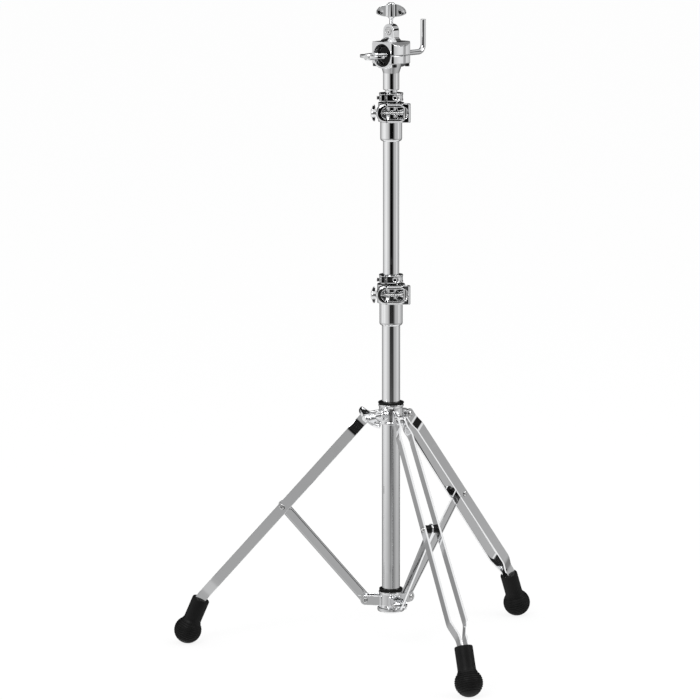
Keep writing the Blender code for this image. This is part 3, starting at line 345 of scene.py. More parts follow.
# %% The finishes of this stand
CHROME_SHADES = ((0.83, 0.835, 0.845), (0.88, 0.885, 0.89))
ZINC_SHADES = ((0.60, 0.60, 0.61), (0.74, 0.74, 0.73))
STEEL_SHADES = ((0.03, 0.03, 0.032), (0.06, 0.06, 0.06))
RUBBER_SHADES = ((0.003, 0.003, 0.003), (0.008, 0.008, 0.008))
NYLON_SHADES = ((0.003, 0.003, 0.003), (0.007, 0.007, 0.007))
TUBE_CHROME = plated_metal("drawn_tube_chrome", CHROME_SHADES, 0.025, 0.3, 260.0, 0.00002, (1.0, 1.0, 0.05))
BAR_CHROME = plated_metal("rolled_bar_chrome", CHROME_SHADES, 0.03, 0.6, 70.0, 0.00004)
CAST_CHROME = plated_metal("cast_chrome", CHROME_SHADES, 0.03, 1.0, 120.0, 0.00006)
ZINC = plated_metal("zinc_plate", ZINC_SHADES, 0.12, 0.6, 400.0, 0.00003)
# A near-black metal, used only for the four screws under the housing.
DARK_STEEL = plated_metal("near_black_steel", STEEL_SHADES, 0.28, 0.6, 400.0, 0.00003)
RUBBER = moulded_black("moulded_rubber", RUBBER_SHADES, 0.36, 0.14, 0.00004)
NYLON = moulded_black("moulded_nylon", NYLON_SHADES, 0.24, 0.14, 0.00002)

# %% [markdown]
# ## Tools for modelling
#
# Each piece starts as a primitive and is shaped in edit mode, as it would be by hand. In a script there
# is no mouse, so what an operator should act on is selected by its place. These helpers hold the steps
# that come back: select, grab, set down, turn on a lathe, trim, weld, cut, and soften.

# %% Select, grab and set down
ROUND = 96
SMALL_ROUND = 32
AT_REST = Matrix.Identity(4)


def choose(*pieces):
    """Selects these pieces alone, with the first one active."""
    bpy.ops.object.select_all(action="DESELECT")
    for piece in pieces:
        piece.select_set(True)
    bpy.context.view_layer.objects.active = pieces[0]


def fresh(add, **settings):
    """Adds a primitive, with everything else deselected."""
    bpy.ops.object.select_all(action="DESELECT")
    add(**settings)
    return bpy.context.object


def pick(test):
    """In edit mode, selects the vertices whose place passes a test."""
    bpy.ops.mesh.select_mode(type="VERT")
    bpy.ops.mesh.select_all(action="DESELECT")
    mesh = bpy.context.edit_object.data
    shape = bmesh.from_edit_mesh(mesh)
    for vertex in shape.verts:
        vertex.select_set(test(vertex.co))
    shape.select_flush(True)
    bmesh.update_edit_mesh(mesh)


def grab(test, move):
    """In edit mode, moves the vertices whose place passes a test."""
    pick(test)
    bpy.ops.transform.translate(value=move)


def close_up(distance):
    """In edit mode, merges the vertices that lie this near to each other."""
    bpy.ops.mesh.select_all(action="SELECT")
    bpy.ops.mesh.remove_doubles(threshold=distance)


def set_down(piece, place=AT_REST):
    """Moves a piece into its place and leaves that place in its mesh."""
    bpy.context.view_layer.update()
    choose(piece)
    piece.matrix_world = place @ piece.matrix_world
    bpy.ops.object.transform_apply(location=True, rotation=True, scale=True)
    return piece


def another(piece, place):
    """A copy with its own mesh, set down elsewhere."""
    choose(piece)
    bpy.ops.object.duplicate()
    return set_down(bpy.context.object, place)


def apply_modifier(piece, kind, **settings):
    """Adds one modifier, sets it and applies it."""
    choose(piece)
    modifier = piece.modifiers.new(kind.lower(), kind)
    for key, value in settings.items():
        setattr(modifier, key, value)
    bpy.ops.object.modifier_apply(modifier=modifier.name)
    return piece


# %% Turn on a lathe
POLE = 0.00001


def lathe(profile, sides=ROUND, ring=False):
    """Extrudes a circle through (radius, height) points. A ring comes back to its first point."""
    points = list(profile) + ([profile[0]] if ring else [])
    radius, height = points[0]
    piece = set_down(fresh(bpy.ops.mesh.primitive_circle_add, vertices=sides, radius=max(radius, POLE),
                           location=(0, 0, height)))
    bpy.ops.object.mode_set(mode="EDIT")
    for (radius, low), (wider, height) in zip(points, points[1:]):
        bpy.ops.mesh.extrude_region_move(TRANSFORM_OT_translate={"value": (0, 0, height - low)})
        growth = max(wider, POLE) / max(radius, POLE)
        bpy.ops.transform.resize(value=(growth, growth, 1), center_override=(0, 0, height))
    close_up(3 * POLE)
    bpy.ops.mesh.normals_make_consistent(inside=False)
    bpy.ops.object.mode_set(mode="OBJECT")
    return piece


def waisted_ring(bore, radius, low, high, flange, slope, depth):
    """A turned ring with a flange at each end and a shallow waist between them."""
    waist = radius - depth
    return lathe([(bore, low), (radius, low), (radius, low + flange), (waist, low + flange + slope),
                  (waist, high - flange - slope), (radius, high - flange), (radius, high),
                  (bore, high)], ring=True)


def rim(piece, width, segments=3, angle=30):
    """Rounds a piece's sharp edges."""
    return apply_modifier(piece, "BEVEL", width=width, segments=segments, limit_method="ANGLE",
                          angle_limit=radians(angle), use_clamp_overlap=True)


# %% Start a casting from plain shapes
Y_AXIS = Vector((0, 1, 0))


def round_bar(radius, start, end, sides=48, end_radius=None):
    """A cylinder or cone between two points."""
    start, end = Vector(start), Vector(end)
    along = end - start
    return set_down(fresh(bpy.ops.mesh.primitive_cone_add, vertices=sides, depth=along.length, radius1=radius,
                          radius2=radius if end_radius is None else end_radius, location=(start + end) / 2,
                          rotation=along.to_track_quat("Z", "Y").to_euler()))


def post(radius, low, high, sides=48, end_radius=None):
    """A round bar that stands on the Z axis."""
    return round_bar(radius, (0, 0, low), (0, 0, high), sides, end_radius)


def cross_bar(radius, middle, half_length, sides=48):
    """A round bar along Y, through a point."""
    return round_bar(radius, middle - half_length * Y_AXIS, middle + half_length * Y_AXIS, sides)


def brick(low, high):
    """A block between two corners."""
    low, high = Vector(low), Vector(high)
    return set_down(fresh(bpy.ops.mesh.primitive_cube_add, size=1, location=(low + high) / 2, scale=high - low))


def racetrack(half_length, radius, start, end, middle, sides=66):
    """A slot-shaped plate in the X-Z plane, from one Y to another: a cylinder pulled apart along X."""
    x, z = middle
    piece = round_bar(radius, (0, start, 0), (0, end, 0), sides)
    set_down(piece, Matrix.Rotation(pi / sides, 4, "Y"))
    bpy.ops.object.mode_set(mode="EDIT")
    for side in (-1, 1):
        grab(lambda place: place.x * side > 0, (side * half_length, 0, 0))
    bpy.ops.object.mode_set(mode="OBJECT")
    return set_down(piece, Matrix.Translation((x, 0, z)))


# %% Trim, weld, cut and soften
def trim(piece, *planes):
    """Cuts a piece off at each plane, given as a point and an outward normal, and closes the cut."""
    choose(piece)
    bpy.ops.object.mode_set(mode="EDIT")
    for point, normal in planes:
        bpy.ops.mesh.select_all(action="SELECT")
        bpy.ops.mesh.bisect(plane_co=point, plane_no=normal, clear_outer=True, use_fill=True)
    bpy.ops.object.mode_set(mode="OBJECT")
    return piece


def weld(piece, *parts):
    """Joins closed shapes that run into each other. The next skin makes them one."""
    choose(piece, *parts)
    bpy.ops.object.join()
    return piece


def fuse(piece, skin):
    """One skin of small squares around everything that was joined."""
    return apply_modifier(piece, "REMESH", mode="VOXEL", voxel_size=skin, adaptivity=0.0)


def trade(piece, tools, operation="DIFFERENCE"):
    """Takes each tool's shape away from the piece, or keeps what they share, and clears the tools away."""
    for tool in tools:
        apply_modifier(piece, "BOOLEAN", operation=operation, object=tool, solver="EXACT")
        bpy.data.objects.remove(tool)
    return piece


def cut(piece, *tools):
    """Cuts holes and hollows."""
    return trade(piece, tools)


def soften(piece, skin, passes):
    """A new skin, smoothed, which leaves the rounded edges of a casting."""
    fuse(piece, skin)
    return apply_modifier(piece, "SMOOTH", factor=0.5, iterations=passes)


def cast(piece, tools, skin, passes, first_skin=None):
    """Makes welded shapes one, cuts their hollows, and softens the whole."""
    fuse(piece, first_skin or skin)
    cut(piece, *tools)
    return soften(piece, skin, passes)


# %% Finish a piece
TURNED = 14
FORGED = 40
CAST = 60


def dress(piece, node, way, body, finish, place=AT_REST, smooth=TURNED):
    """Names a piece, lays it in place, and says what carries it and what it stands for."""
    nodes = [node] if node in frame["nodes"] else []
    set_down(piece, place)
    piece.name = piece.data.name = f"{node}_{way}"
    bpy.ops.object.shade_smooth_by_angle(angle=radians(smooth))
    piece.data.materials.clear()
    piece.data.materials.append(finish)
    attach(piece, body)
    if nodes:
        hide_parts(*nodes)
    size = " x ".join(f"{length * 1000:.1f}" for length in piece.dimensions)
    print(f"{piece.name}: {len(piece.data.polygons)} faces, {size} mm")


# %% [markdown]
# ## Tubes, sleeves and rings
#
# Everything round on the column comes off a lathe: a circle is extruded along the axis and scaled at
# each step, which is the fastest way to a clean turned part. The heights and radii come from the boxes
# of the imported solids. A small bevel at each rim catches the light as a real deburred edge does.

# %% Draw the three tubes
COLUMN = Matrix.Translation((0, COLUMN_Y, 0))
GAP = 0.0003
TUBES = {"base_tube": (0.0012, "stand_base"), "middle_tube": (0.0014, "middle_stage"),
         "upper_tube": (0.0015, "upper_stage")}


def span(node):
    """Outer radius, bottom and top of a node that stands on the column."""
    low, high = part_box(node)
    return (high.x - low.x) / 2, low.z, high.z


for name, (wall, body) in TUBES.items():
    radius, bottom, top = span(name)
    tube = lathe([(radius - wall, top), (radius, top), (radius, bottom), (radius - wall, bottom)], ring=True)
    dress(rim(tube, 0.0004), name, "drawn", body, TUBE_CHROME, COLUMN)

# %% Turn the sleeves under the two clamps
LEVELS = {"lower": ("base_tube", "middle_tube", "stand_base"),
          "upper": ("middle_tube", "upper_tube", "middle_stage")}
CLAMP_UNDER_TUBE_TOP = 0.0145
CLAMP_HEIGHT = 0.0305
SPIGOT_WALL = 0.0020
SLEEVE_EDGE = ((0, 0.0050), (0, 0.0042), (0.0004, 0.0024), (0.0014, 0.0010), (0.0029, 0.0001), (0.0033, 0))


def spigot(tube_radius):
    """Outer radius of the sleeve's thin end, which the clamp grips."""
    return tube_radius + GAP + SPIGOT_WALL


for level, (outside, _, body) in LEVELS.items():
    tube_radius, _, tube_top = span(outside)
    outer, bottom, top = span(level + "_sleeve")
    shoulder = tube_top - CLAMP_UNDER_TUBE_TOP
    bore = tube_radius + GAP
    edge = [(outer - inward, bottom + rise) for inward, rise in SLEEVE_EDGE]
    sleeve = lathe([(spigot(tube_radius), top), (spigot(tube_radius), shoulder), (outer, shoulder)] + edge
                   + [(bore, bottom), (bore, top)], ring=True)
    dress(rim(sleeve, 0.0005), level + "_sleeve", "turned", body, TUBE_CHROME, COLUMN)

# %% Mould the bushes that show above the clamps
BUSH_FLANGE = 0.0018
BUSH_SIDES = 72
for level, (outside, inside, body) in LEVELS.items():
    tube_radius = span(outside)[0]
    bore = span(inside)[0] + GAP
    flange, bottom, top = span(level + "_clamp_bush")
    seat = top - BUSH_FLANGE
    bush = lathe([(flange, top), (flange, seat), (tube_radius, seat), (tube_radius, bottom), (bore, bottom),
                  (bore, top)], BUSH_SIDES, ring=True)
    dress(rim(bush, 0.0004), level + "_clamp_bush", "moulded", body, NYLON, COLUMN)

# %% Turn the cap and mould the bumper at the foot of the column
PLUG_LENGTH = 0.018
BUMPER_GROOVE = 0.0005
radius, bottom, top = span("bottom_cap")
plug = span("base_tube")[0] - TUBES["base_tube"][0] - GAP
ledge = top - PLUG_LENGTH
cap = lathe([(0, top), (plug, top), (plug, ledge), (radius, ledge), (radius, bottom + 0.0036),
             (radius, bottom + 0.0030), (radius * 0.985, bottom + 0.0016), (radius * 0.94, bottom + 0.0006),
             (radius * 0.86, bottom), (radius * 0.30, bottom), (radius * 0.26, bottom + 0.0008),
             (0, bottom + 0.0008)])
dress(rim(cap, 0.0004), "bottom_cap", "turned", "stand_base", CAST_CHROME, COLUMN)
radius, bottom, top = span("collar_bumper")
bore = span("base_tube")[0] + GAP
middle = (bottom + top) / 2
bumper = lathe([(bore, bottom), (radius, bottom), (radius, middle - BUMPER_GROOVE), (radius - 0.0006, middle),
                (radius, middle + BUMPER_GROOVE), (radius, top), (bore, top)], BUSH_SIDES, ring=True)
dress(rim(bumper, 0.0006), "collar_bumper", "moulded", "stand_base", RUBBER, COLUMN)

# %% Mould the flanged bush of the hub
HUB_RING_HEIGHT = 0.0042
HUB_BUSH_WALL = 0.0016
LIP_TURNS = (-88, -70, -45, -20, 0, 20, 45, 70, 88)
radius, bottom, top = span("hub_bush")
seat = top - HUB_RING_HEIGHT
lip = [(bore + (radius - bore) * cos(radians(turn)) ** 0.5,
        (seat + top) / 2 + HUB_RING_HEIGHT / 2 * sin(radians(turn))) for turn in LIP_TURNS]
outer = bore + HUB_BUSH_WALL
hub_bush = lathe(lip + [(bore, top), (bore, bottom), (outer, bottom), (outer, seat)], BUSH_SIDES, ring=True)
dress(hub_bush, "hub_bush", "moulded", "hub", NYLON, COLUMN)

# %% [markdown]
# ## The leg bars and braces
#
# Each leg is two flat bars. They lie close at the hub, step apart for the brace, and close again above
# the foot. A flat bar is drawn as a plane, cut across where it bends, and moved sideways station by
# station, which is what a press does to the real one. Solidify then gives it its thickness.

# %% The linkage of one leg, in a frame with X away from the column
FOOT_REACH = 0.330
PIVOT_REACH = 0.040
LOW_PIVOT_Z = 0.082
LINK_LENGTH = 0.199
LINK_ANGLE = radians(42.05)
BALL_RADIUS = 0.022
BALL_FLAT = 0.0005
NECK_TILT = radians(23.3)
NECK_TOP = 0.0568
TAB_BEND_RISE = 0.0027
TAB_DEPTH = 0.029
LEG_ANGLES = {"front": radians(-90.0), "left": radians(150.0), "right": radians(30.0)}

LINK_RISE = LINK_LENGTH * cos(LINK_ANGLE)
TOP_PIVOT = Vector((PIVOT_REACH, 0, LOW_PIVOT_Z + 2 * LINK_RISE))
MID_PIVOT = Vector((PIVOT_REACH + LINK_LENGTH * sin(LINK_ANGLE), 0, LOW_PIVOT_Z + LINK_RISE))
LOW_PIVOT = Vector((PIVOT_REACH, 0, LOW_PIVOT_Z))
NECK_AXIS = Vector((-sin(NECK_TILT), 0, cos(NECK_TILT)))
BALL_CENTRE = Vector((FOOT_REACH, 0, BALL_RADIUS - BALL_FLAT))
TAB_BEND = BALL_CENTRE + (NECK_TOP + TAB_BEND_RISE) * NECK_AXIS
LEG_LINE = (TAB_BEND - TOP_PIVOT).normalized()
LEG_UP = Vector((-LEG_LINE.z, 0, LEG_LINE.x))
LEG_RUN = (TAB_BEND - TOP_PIVOT).length
MID_RUN = (MID_PIVOT - TOP_PIVOT).dot(LEG_LINE)
print(f"bar of {LEG_RUN * 1000:.1f} mm, middle rivet at {MID_RUN * 1000:.1f} mm")


def laid_along(line, up, origin):
    """A place whose X runs along a line in the leg's plane, with Y up from it."""
    turn = Matrix((line, up, line.cross(up))).transposed().to_4x4()
    return Matrix.Translation(origin) @ turn


def dress_legs(pattern, node, way, body, finish):
    """Dresses a copy of one pattern on each leg, and clears the pattern away."""
    for leg, angle in LEG_ANGLES.items():
        copy = another(pattern, COLUMN @ Matrix.Rotation(angle, 4, "Z"))
        dress(copy, f"{leg}_{node}", way, body.format(leg=leg), finish)
    bpy.data.objects.remove(pattern)


# %% How far apart the bars are
BAR_WIDTH = 0.017
BAR_THICK = 0.0032
BARS_CLOSE = 0.0054
SPREADS = ((-0.02, BARS_CLOSE), (0.015, BARS_CLOSE), (0.029, 0.0103), (LEG_RUN - 0.036, 0.0134),
           (LEG_RUN - 0.0115, BARS_CLOSE), (LEG_RUN + 0.05, BARS_CLOSE))
BEND_ROUNDING = 0.004


def sharp_spread(run):
    """Half the distance between the middles of the two bars, with sharp bends."""
    for (start, low), (end, high) in zip(SPREADS, SPREADS[1:]):
        if run <= end:
            return low + (high - low) * (run - start) / (end - start)
    return BARS_CLOSE


def spread(run):
    """The same distance with rounded bends."""
    steps = [run + BEND_ROUNDING * (step / 4 - 1) for step in range(9)]
    return sum(sharp_spread(step) for step in steps) / len(steps)


# %% Form one bar
PIVOT_HOLE = 0.0033
HOLE_REACH = 0.03
SAME_STATION = 0.00001
BEND_SHARES = (-1.7, -1.1, -0.6, -0.2, 0.2, 0.6, 1.1, 1.7)
TAB_TURNS = 5
TAB_STEP = 0.002


def flat_strip(start, end, width):
    """A plane from one X to another, in edit mode."""
    piece = fresh(bpy.ops.mesh.primitive_plane_add, size=1, location=((start + end) / 2, 0, 0))
    piece.scale = (end - start, width, 1)
    set_down(piece)
    bpy.ops.object.mode_set(mode="EDIT")
    return piece


def round_end(reach, half_width):
    """Rounds the end of a strip that reaches this X."""
    pick(lambda place: abs(place.x - reach) < 0.0001)
    bpy.ops.mesh.bevel(offset=half_width * 0.999, segments=20, affect="VERTICES")
    close_up(0.00005)


def score(run):
    """Cuts all faces across at this X."""
    bpy.ops.mesh.select_all(action="SELECT")
    bpy.ops.mesh.bisect(plane_co=(run, 0, 0), plane_no=(1, 0, 0))


def thicken(piece, thickness, edge, *holes):
    """Gives a pressed strip its thickness and its rounded edges, and drills it at each X."""
    bpy.ops.object.mode_set(mode="OBJECT")
    apply_modifier(piece, "SOLIDIFY", thickness=thickness, offset=0.0)
    rim(piece, edge, 3, 50)
    return cut(piece, *[round_bar(PIVOT_HOLE, (run, 0, -HOLE_REACH), (run, 0, HOLE_REACH), SMALL_ROUND)
                        for run in holes])


def leg_bar(side):
    """A strip that is stepped sideways along its length and turned over at its tab."""
    half = BAR_WIDTH / 2
    piece = flat_strip(-half, LEG_RUN + TAB_BEND_RISE + TAB_DEPTH, BAR_WIDTH)
    round_end(-half, half)
    stations = sorted({bend + BEND_ROUNDING * share for bend, _ in SPREADS[1:-1] for share in BEND_SHARES})
    tab_runs = [LEG_RUN + TAB_STEP * (step - (TAB_TURNS - 1) / 2) for step in range(-1, TAB_TURNS + 1)]
    for run in stations + tab_runs:
        score(run)
    bpy.ops.mesh.select_all(action="SELECT")
    bpy.ops.transform.translate(value=(0, 0, -side * BARS_CLOSE))
    height = BARS_CLOSE
    for run in stations:
        grab(lambda place: place.x > run - SAME_STATION, (0, 0, -side * (spread(run) - height)))
        height = spread(run)
    tab_turn = atan2(-NECK_AXIS.dot(LEG_UP), -NECK_AXIS.dot(LEG_LINE))
    for run in reversed(tab_runs[1:-1]):
        pick(lambda place: place.x > run + 0.0001)
        bpy.ops.transform.rotate(value=-tab_turn / TAB_TURNS, orient_axis="Z", center_override=(run, 0, 0))
    thicken(piece, BAR_THICK, 0.0006, 0, MID_RUN)
    return set_down(piece, laid_along(LEG_LINE, LEG_UP, TOP_PIVOT))


bars = {"a": leg_bar(1), "b": leg_bar(-1)}
for letter, bar in bars.items():
    dress_legs(bar, f"leg_bar_{letter}", "pressed", "{leg}_leg", BAR_CHROME)

# %% Press one brace
BRACE_WIDTH = 0.0165
BRACE_THICK = 0.0028
RIB_CLEAR = 0.0240
RIB_EDGE = 0.0019
RIB_SLOPE = 0.0009
RIB_DEPTH = -0.00028


def brace():
    """A strip with two round ends and a shallow field pressed between its rivets."""
    half = LINK_LENGTH / 2 + BRACE_WIDTH / 2
    piece = flat_strip(-half, half, BRACE_WIDTH)
    for reach in (-half, half):
        round_end(reach, BRACE_WIDTH / 2)
    bpy.ops.mesh.select_all(action="SELECT")
    bpy.ops.mesh.inset(thickness=RIB_EDGE, depth=0.0, use_boundary=True)
    pulled_in = RIB_CLEAR - BRACE_WIDTH / 2
    inner = [vertex.co.copy() for vertex in bmesh.from_edit_mesh(piece.data).verts if vertex.select]
    for end in (-1, 1):
        rows = [place for place in inner if place.x * end > 0]
        grab(lambda place: any((place - row).length < SAME_STATION for row in rows), (-end * pulled_in, 0, 0))
    pick(lambda place: abs(place.y) < BRACE_WIDTH / 2 - RIB_EDGE + GAP and abs(place.x) < half - pulled_in)
    bpy.ops.mesh.inset(thickness=RIB_SLOPE, depth=0.0, use_boundary=True)
    bpy.ops.transform.translate(value=(0, 0, RIB_DEPTH))
    thicken(piece, BRACE_THICK, 0.0004, -LINK_LENGTH / 2, LINK_LENGTH / 2)
    line = Vector((sin(LINK_ANGLE), 0, cos(LINK_ANGLE)))
    up = Vector((-cos(LINK_ANGLE), 0, sin(LINK_ANGLE)))
    return set_down(piece, laid_along(line, up, (LOW_PIVOT + MID_PIVOT) / 2))


dress_legs(brace(), "brace", "pressed", "{leg}_brace", BAR_CHROME)

# %% [markdown]
# ## Rivets and bushes
#
# A rivet has a flat-domed head with a small dimple from the tool. The black bushes fill the space
# between the brace and the bars. Both are turned, once each, and copied to the three legs.

# %% Turn the rivets and bushes
ACROSS = Matrix.Rotation(-pi / 2, 4, "X")
PIN_RADIUS = 0.003
PIN_DOME = 0.0020
LOW_FORK_FACE = 0.0096
RIVET_HEAD = ((0.0, 0.62), (0.22, 0.66), (0.30, 0.94), (0.42, 1.0), (0.66, 0.88), (0.86, 0.60),
              (0.98, 0.24), (1.0, 0.0))
RIVETS = {"top_pin": (TOP_PIVOT, BARS_CLOSE + BAR_THICK / 2 + GAP, 0.0055, "{leg}_leg"),
          "mid_pin": (MID_PIVOT, spread(MID_RUN) + BAR_THICK / 2 + GAP, 0.0043, "{leg}_leg"),
          "low_pin": (LOW_PIVOT, LOW_FORK_FACE + GAP, 0.0040, "stand_base")}


def rivet(pivot, half_length, head):
    """A pin with the same domed head at both ends."""
    side = [(head * across, half_length + PIN_DOME * up) for across, up in RIVET_HEAD]
    side.append((PIN_RADIUS, half_length))
    piece = lathe(side + [(across, -up) for across, up in reversed(side)], SMALL_ROUND)
    return set_down(piece, Matrix.Translation(pivot) @ ACROSS)


def mid_bush(side):
    """A waisted spacer between the brace and one bar."""
    inner = BRACE_THICK / 2 + GAP
    outer = spread(MID_RUN) - BAR_THICK / 2 - GAP
    piece = lathe([(PIVOT_HOLE, inner), (0.0066, inner), (0.0068, inner + 0.0006),
                   (0.0062, (inner + outer) / 2), (0.0068, outer - 0.0006), (0.0066, outer),
                   (PIVOT_HOLE, outer)], 40, ring=True)
    turn = AT_REST if side > 0 else Matrix.Rotation(pi, 4, "X")
    return set_down(piece, Matrix.Translation(MID_PIVOT) @ ACROSS @ turn)


for node, (pivot, half_length, head, body) in RIVETS.items():
    dress_legs(rivet(pivot, half_length, head), node, "riveted", body, ZINC)
for letter, side in (("a", 1), ("b", -1)):
    dress_legs(mid_bush(side), f"mid_bush_{letter}", "moulded", "{leg}_leg", NYLON)

# %% [markdown]
# ## The rubber feet
#
# A foot is a ball on a neck, moulded in one piece with fine ribs for grip. The ribs are real steps in
# the turned profile, so that they show in the outline. Two slots in the neck take the ends of the bars.

# %% Turn one foot
NECK_RADIUS = 0.0142
NECK_EDGE = ((0.0022, 0), (0.0011, 0.0003), (0.0004, 0.0010), (0, 0.0022))
NECK_FILLET = ((0.0060, 0.0), (0.0030, 0.0001), (0.0014, 0.0004), (0.0004, 0.0010))
RIB_PITCH = 0.0034
GROOVE = 0.0010
BALL_RIBS_LOW = -0.0140
RIB_SECTION = ((0.0, 0.0), (0.0003, 0.25), (0.0006, 0.85), (0.0009, 1.0), (0.0012, 1.0), (0.0015, 0.85),
               (0.0018, 0.25), (0.0021, 0.0), (0.0028, 0.0))
SMOOTH_BELOW = (0.80, 0.87, 0.93, 0.97, 0.992)


def foot():
    """A ribbed ball on a slotted neck, worn flat where it stands."""
    join_height = sqrt(BALL_RADIUS ** 2 - NECK_RADIUS ** 2)
    profile = [(0, NECK_TOP)] + [(NECK_RADIUS - inward, NECK_TOP - drop) for inward, drop in NECK_EDGE]
    profile += [(NECK_RADIUS + swell, join_height + rise) for rise, swell in NECK_FILLET]
    height = join_height - 0.0020
    while height > BALL_RIBS_LOW:
        for drop, share in RIB_SECTION:
            profile.append((sqrt(BALL_RADIUS ** 2 - (height - drop) ** 2) - GROOVE * share, height - drop))
        height -= RIB_PITCH
    profile += [(BALL_RADIUS * sqrt(1 - low ** 2), -BALL_RADIUS * low) for low in SMOOTH_BELOW]
    piece = lathe(profile + [(0, -BALL_RADIUS)], 72)
    half_width, half_slot = BAR_WIDTH / 2 + GAP, BAR_THICK / 2 + GAP
    cut(piece, *[brick((-half_width, side * BARS_CLOSE - half_slot, NECK_TOP - TAB_DEPTH - GAP),
                       (half_width, side * BARS_CLOSE + half_slot, NECK_TOP + 0.01)) for side in (-1, 1)])
    set_down(piece, Matrix.Translation(BALL_CENTRE) @ Matrix.Rotation(-NECK_TILT, 4, "Y"))
    return trim(piece, ((0, 0, 0), (0, 0, -1)))


dress_legs(foot(), "foot", "moulded", "{leg}_leg", RUBBER)

# %% [markdown]
# ## The hub and the lower collar
#
# These are castings. Each is welded from a turned ring and plain lugs, its holes are cut, and a voxel
# remesh with a few smoothing passes gives it one skin with soft inner and outer corners, as plating on a
# casting has. A bevel would do for single edges, but not where so many shapes meet.

# %% Cast the hub
HUB_UNDER_PIVOT = 0.0105
HUB_HEIGHT = 0.0315
HUB_RADIUS = 0.0200
HUB_BOLT_ANGLE = radians(210.0)
HUB_BOLT_RISE = 0.006
TONGUE_RADIUS = 0.0075
TONGUE_HALF_THICK = 0.0035
WEB_RISE = 0.0045
BOLT_HOLE = 0.0033
HUB_SKIN = 0.00055
TOOL_REACH = 0.01


def hub():
    """A waisted ring with a tongue for each leg and a boss for the bolt."""
    bottom = TOP_PIVOT.z - HUB_UNDER_PIVOT
    top = bottom + HUB_HEIGHT
    bore = span("base_tube")[0] + 2 * GAP + HUB_BUSH_WALL
    root = bore + 0.001
    piece = waisted_ring(bore, HUB_RADIUS, bottom, top, 0.0032, 0.0010, 0.0011)
    holes = []
    for angle in LEG_ANGLES.values():
        turn = Matrix.Rotation(angle, 4, "Z")
        nose = cross_bar(TONGUE_RADIUS, TOP_PIVOT, TONGUE_HALF_THICK)
        web = brick((root, -TONGUE_HALF_THICK, TOP_PIVOT.z - TONGUE_RADIUS),
                    (PIVOT_REACH, TONGUE_HALF_THICK, TOP_PIVOT.z + TONGUE_RADIUS * 0.9))
        bpy.ops.object.mode_set(mode="EDIT")
        grab(lambda place: place.x < root + 0.001 and place.z > TOP_PIVOT.z, (0, 0, WEB_RISE))
        bpy.ops.object.mode_set(mode="OBJECT")
        collar = cross_bar(0.0052, TOP_PIVOT, 0.0037)
        hole = cross_bar(PIVOT_HOLE, TOP_PIVOT, HOLE_REACH, SMALL_ROUND)
        weld(piece, *[set_down(part, turn) for part in (nose, web, collar)])
        holes.append(set_down(hole, turn))
    height = TOP_PIVOT.z + HUB_BOLT_RISE
    turn = Matrix.Rotation(HUB_BOLT_ANGLE, 4, "Z")
    boss = round_bar(0.0080, (root, 0, height), (0.030, 0, height))
    collar = round_bar(0.0092, (root, 0, height), (0.0235, 0, height), end_radius=0.0084)
    hole = round_bar(BOLT_HOLE, (0, 0, height), (0.06, 0, height), SMALL_ROUND)
    weld(piece, set_down(boss, turn), set_down(collar, turn))
    bore_tool = post(bore, bottom - TOOL_REACH, top + TOOL_REACH, ROUND)
    return cast(piece, holes + [set_down(hole, turn), bore_tool], HUB_SKIN, passes=5)


dress(hub(), "hub", "casting", "hub", CAST_CHROME, COLUMN, CAST)

# %% Cast the lower collar
COLLAR_RADIUS = 0.0195
COLLAR_HEIGHT = 0.026
COLLAR_UNDER_PIVOT = 0.011
EAR_RADIUS = 0.0080
EAR_HALF_GAP = 0.0070
EAR_BOSS_RADIUS = 0.0055


def lower_collar():
    """A waisted ring with a fork for each brace."""
    bottom = LOW_PIVOT_Z - COLLAR_UNDER_PIVOT
    top = bottom + COLLAR_HEIGHT
    bore = span("base_tube")[0] + GAP
    piece = waisted_ring(bore, COLLAR_RADIUS, bottom, top, 0.0026, 0.0008, 0.0008)
    holes = []
    for angle in LEG_ANGLES.values():
        turn = Matrix.Rotation(angle, 4, "Z")
        for side in (-1, 1):
            face, inside, brace_side = [side * reach * Y_AXIS
                                        for reach in (LOW_FORK_FACE, EAR_HALF_GAP, BRACE_THICK / 2 + GAP)]
            low_y, high_y = sorted((face.y, inside.y))
            ear = round_bar(EAR_RADIUS, LOW_PIVOT + inside, LOW_PIVOT + face)
            cheek = brick((bore + 0.0008, low_y, LOW_PIVOT_Z - EAR_RADIUS),
                          (PIVOT_REACH, high_y, LOW_PIVOT_Z + EAR_RADIUS))
            boss = round_bar(EAR_BOSS_RADIUS, LOW_PIVOT + brace_side, LOW_PIVOT + inside * 1.02)
            weld(piece, *[set_down(part, turn) for part in (ear, cheek, boss)])
        holes.append(set_down(cross_bar(PIVOT_HOLE, LOW_PIVOT, HOLE_REACH, SMALL_ROUND), turn))
    bore_tool = post(bore, bottom - TOOL_REACH, top + TOOL_REACH, ROUND)
    return cast(piece, holes + [bore_tool], HUB_SKIN, passes=4)


dress(lower_collar(), "lower_collar", "casting", "stand_base", CAST_CHROME, COLUMN, CAST)

# %% [markdown]
# ## Wing bolts
#
# A wing bolt is forged: two broad flat ears on a round hub, with a filleted thick root between them. Both
# ears start as one oval plate, whose lower half is flatter than its upper half. A roller and a block take
# each face down to the ear's thickness, and a large ball presses a dish for the finger. The same head
# serves the top bolt, the ball screw and the hub bolt.

# %% Forge a wing head
WING_SPAN = 0.0474
WING_DEPTH = 0.0205
WING_EAR = 0.0046
WING_ROOT = 0.0100
WING_FILLET = 0.0042
WING_HUB_RADIUS = 0.0054
WING_HUB_LENGTH = 0.0244
WING_HUB_EDGE = 0.0009
WING_SHOULDER = 0.32
WING_SKIN = 0.0004
DISH_RADIUS = 0.0180
DISH_DEPTH = 0.0006
DISH_FROM_TIP = 0.0072
DISH_RISE = 0.42


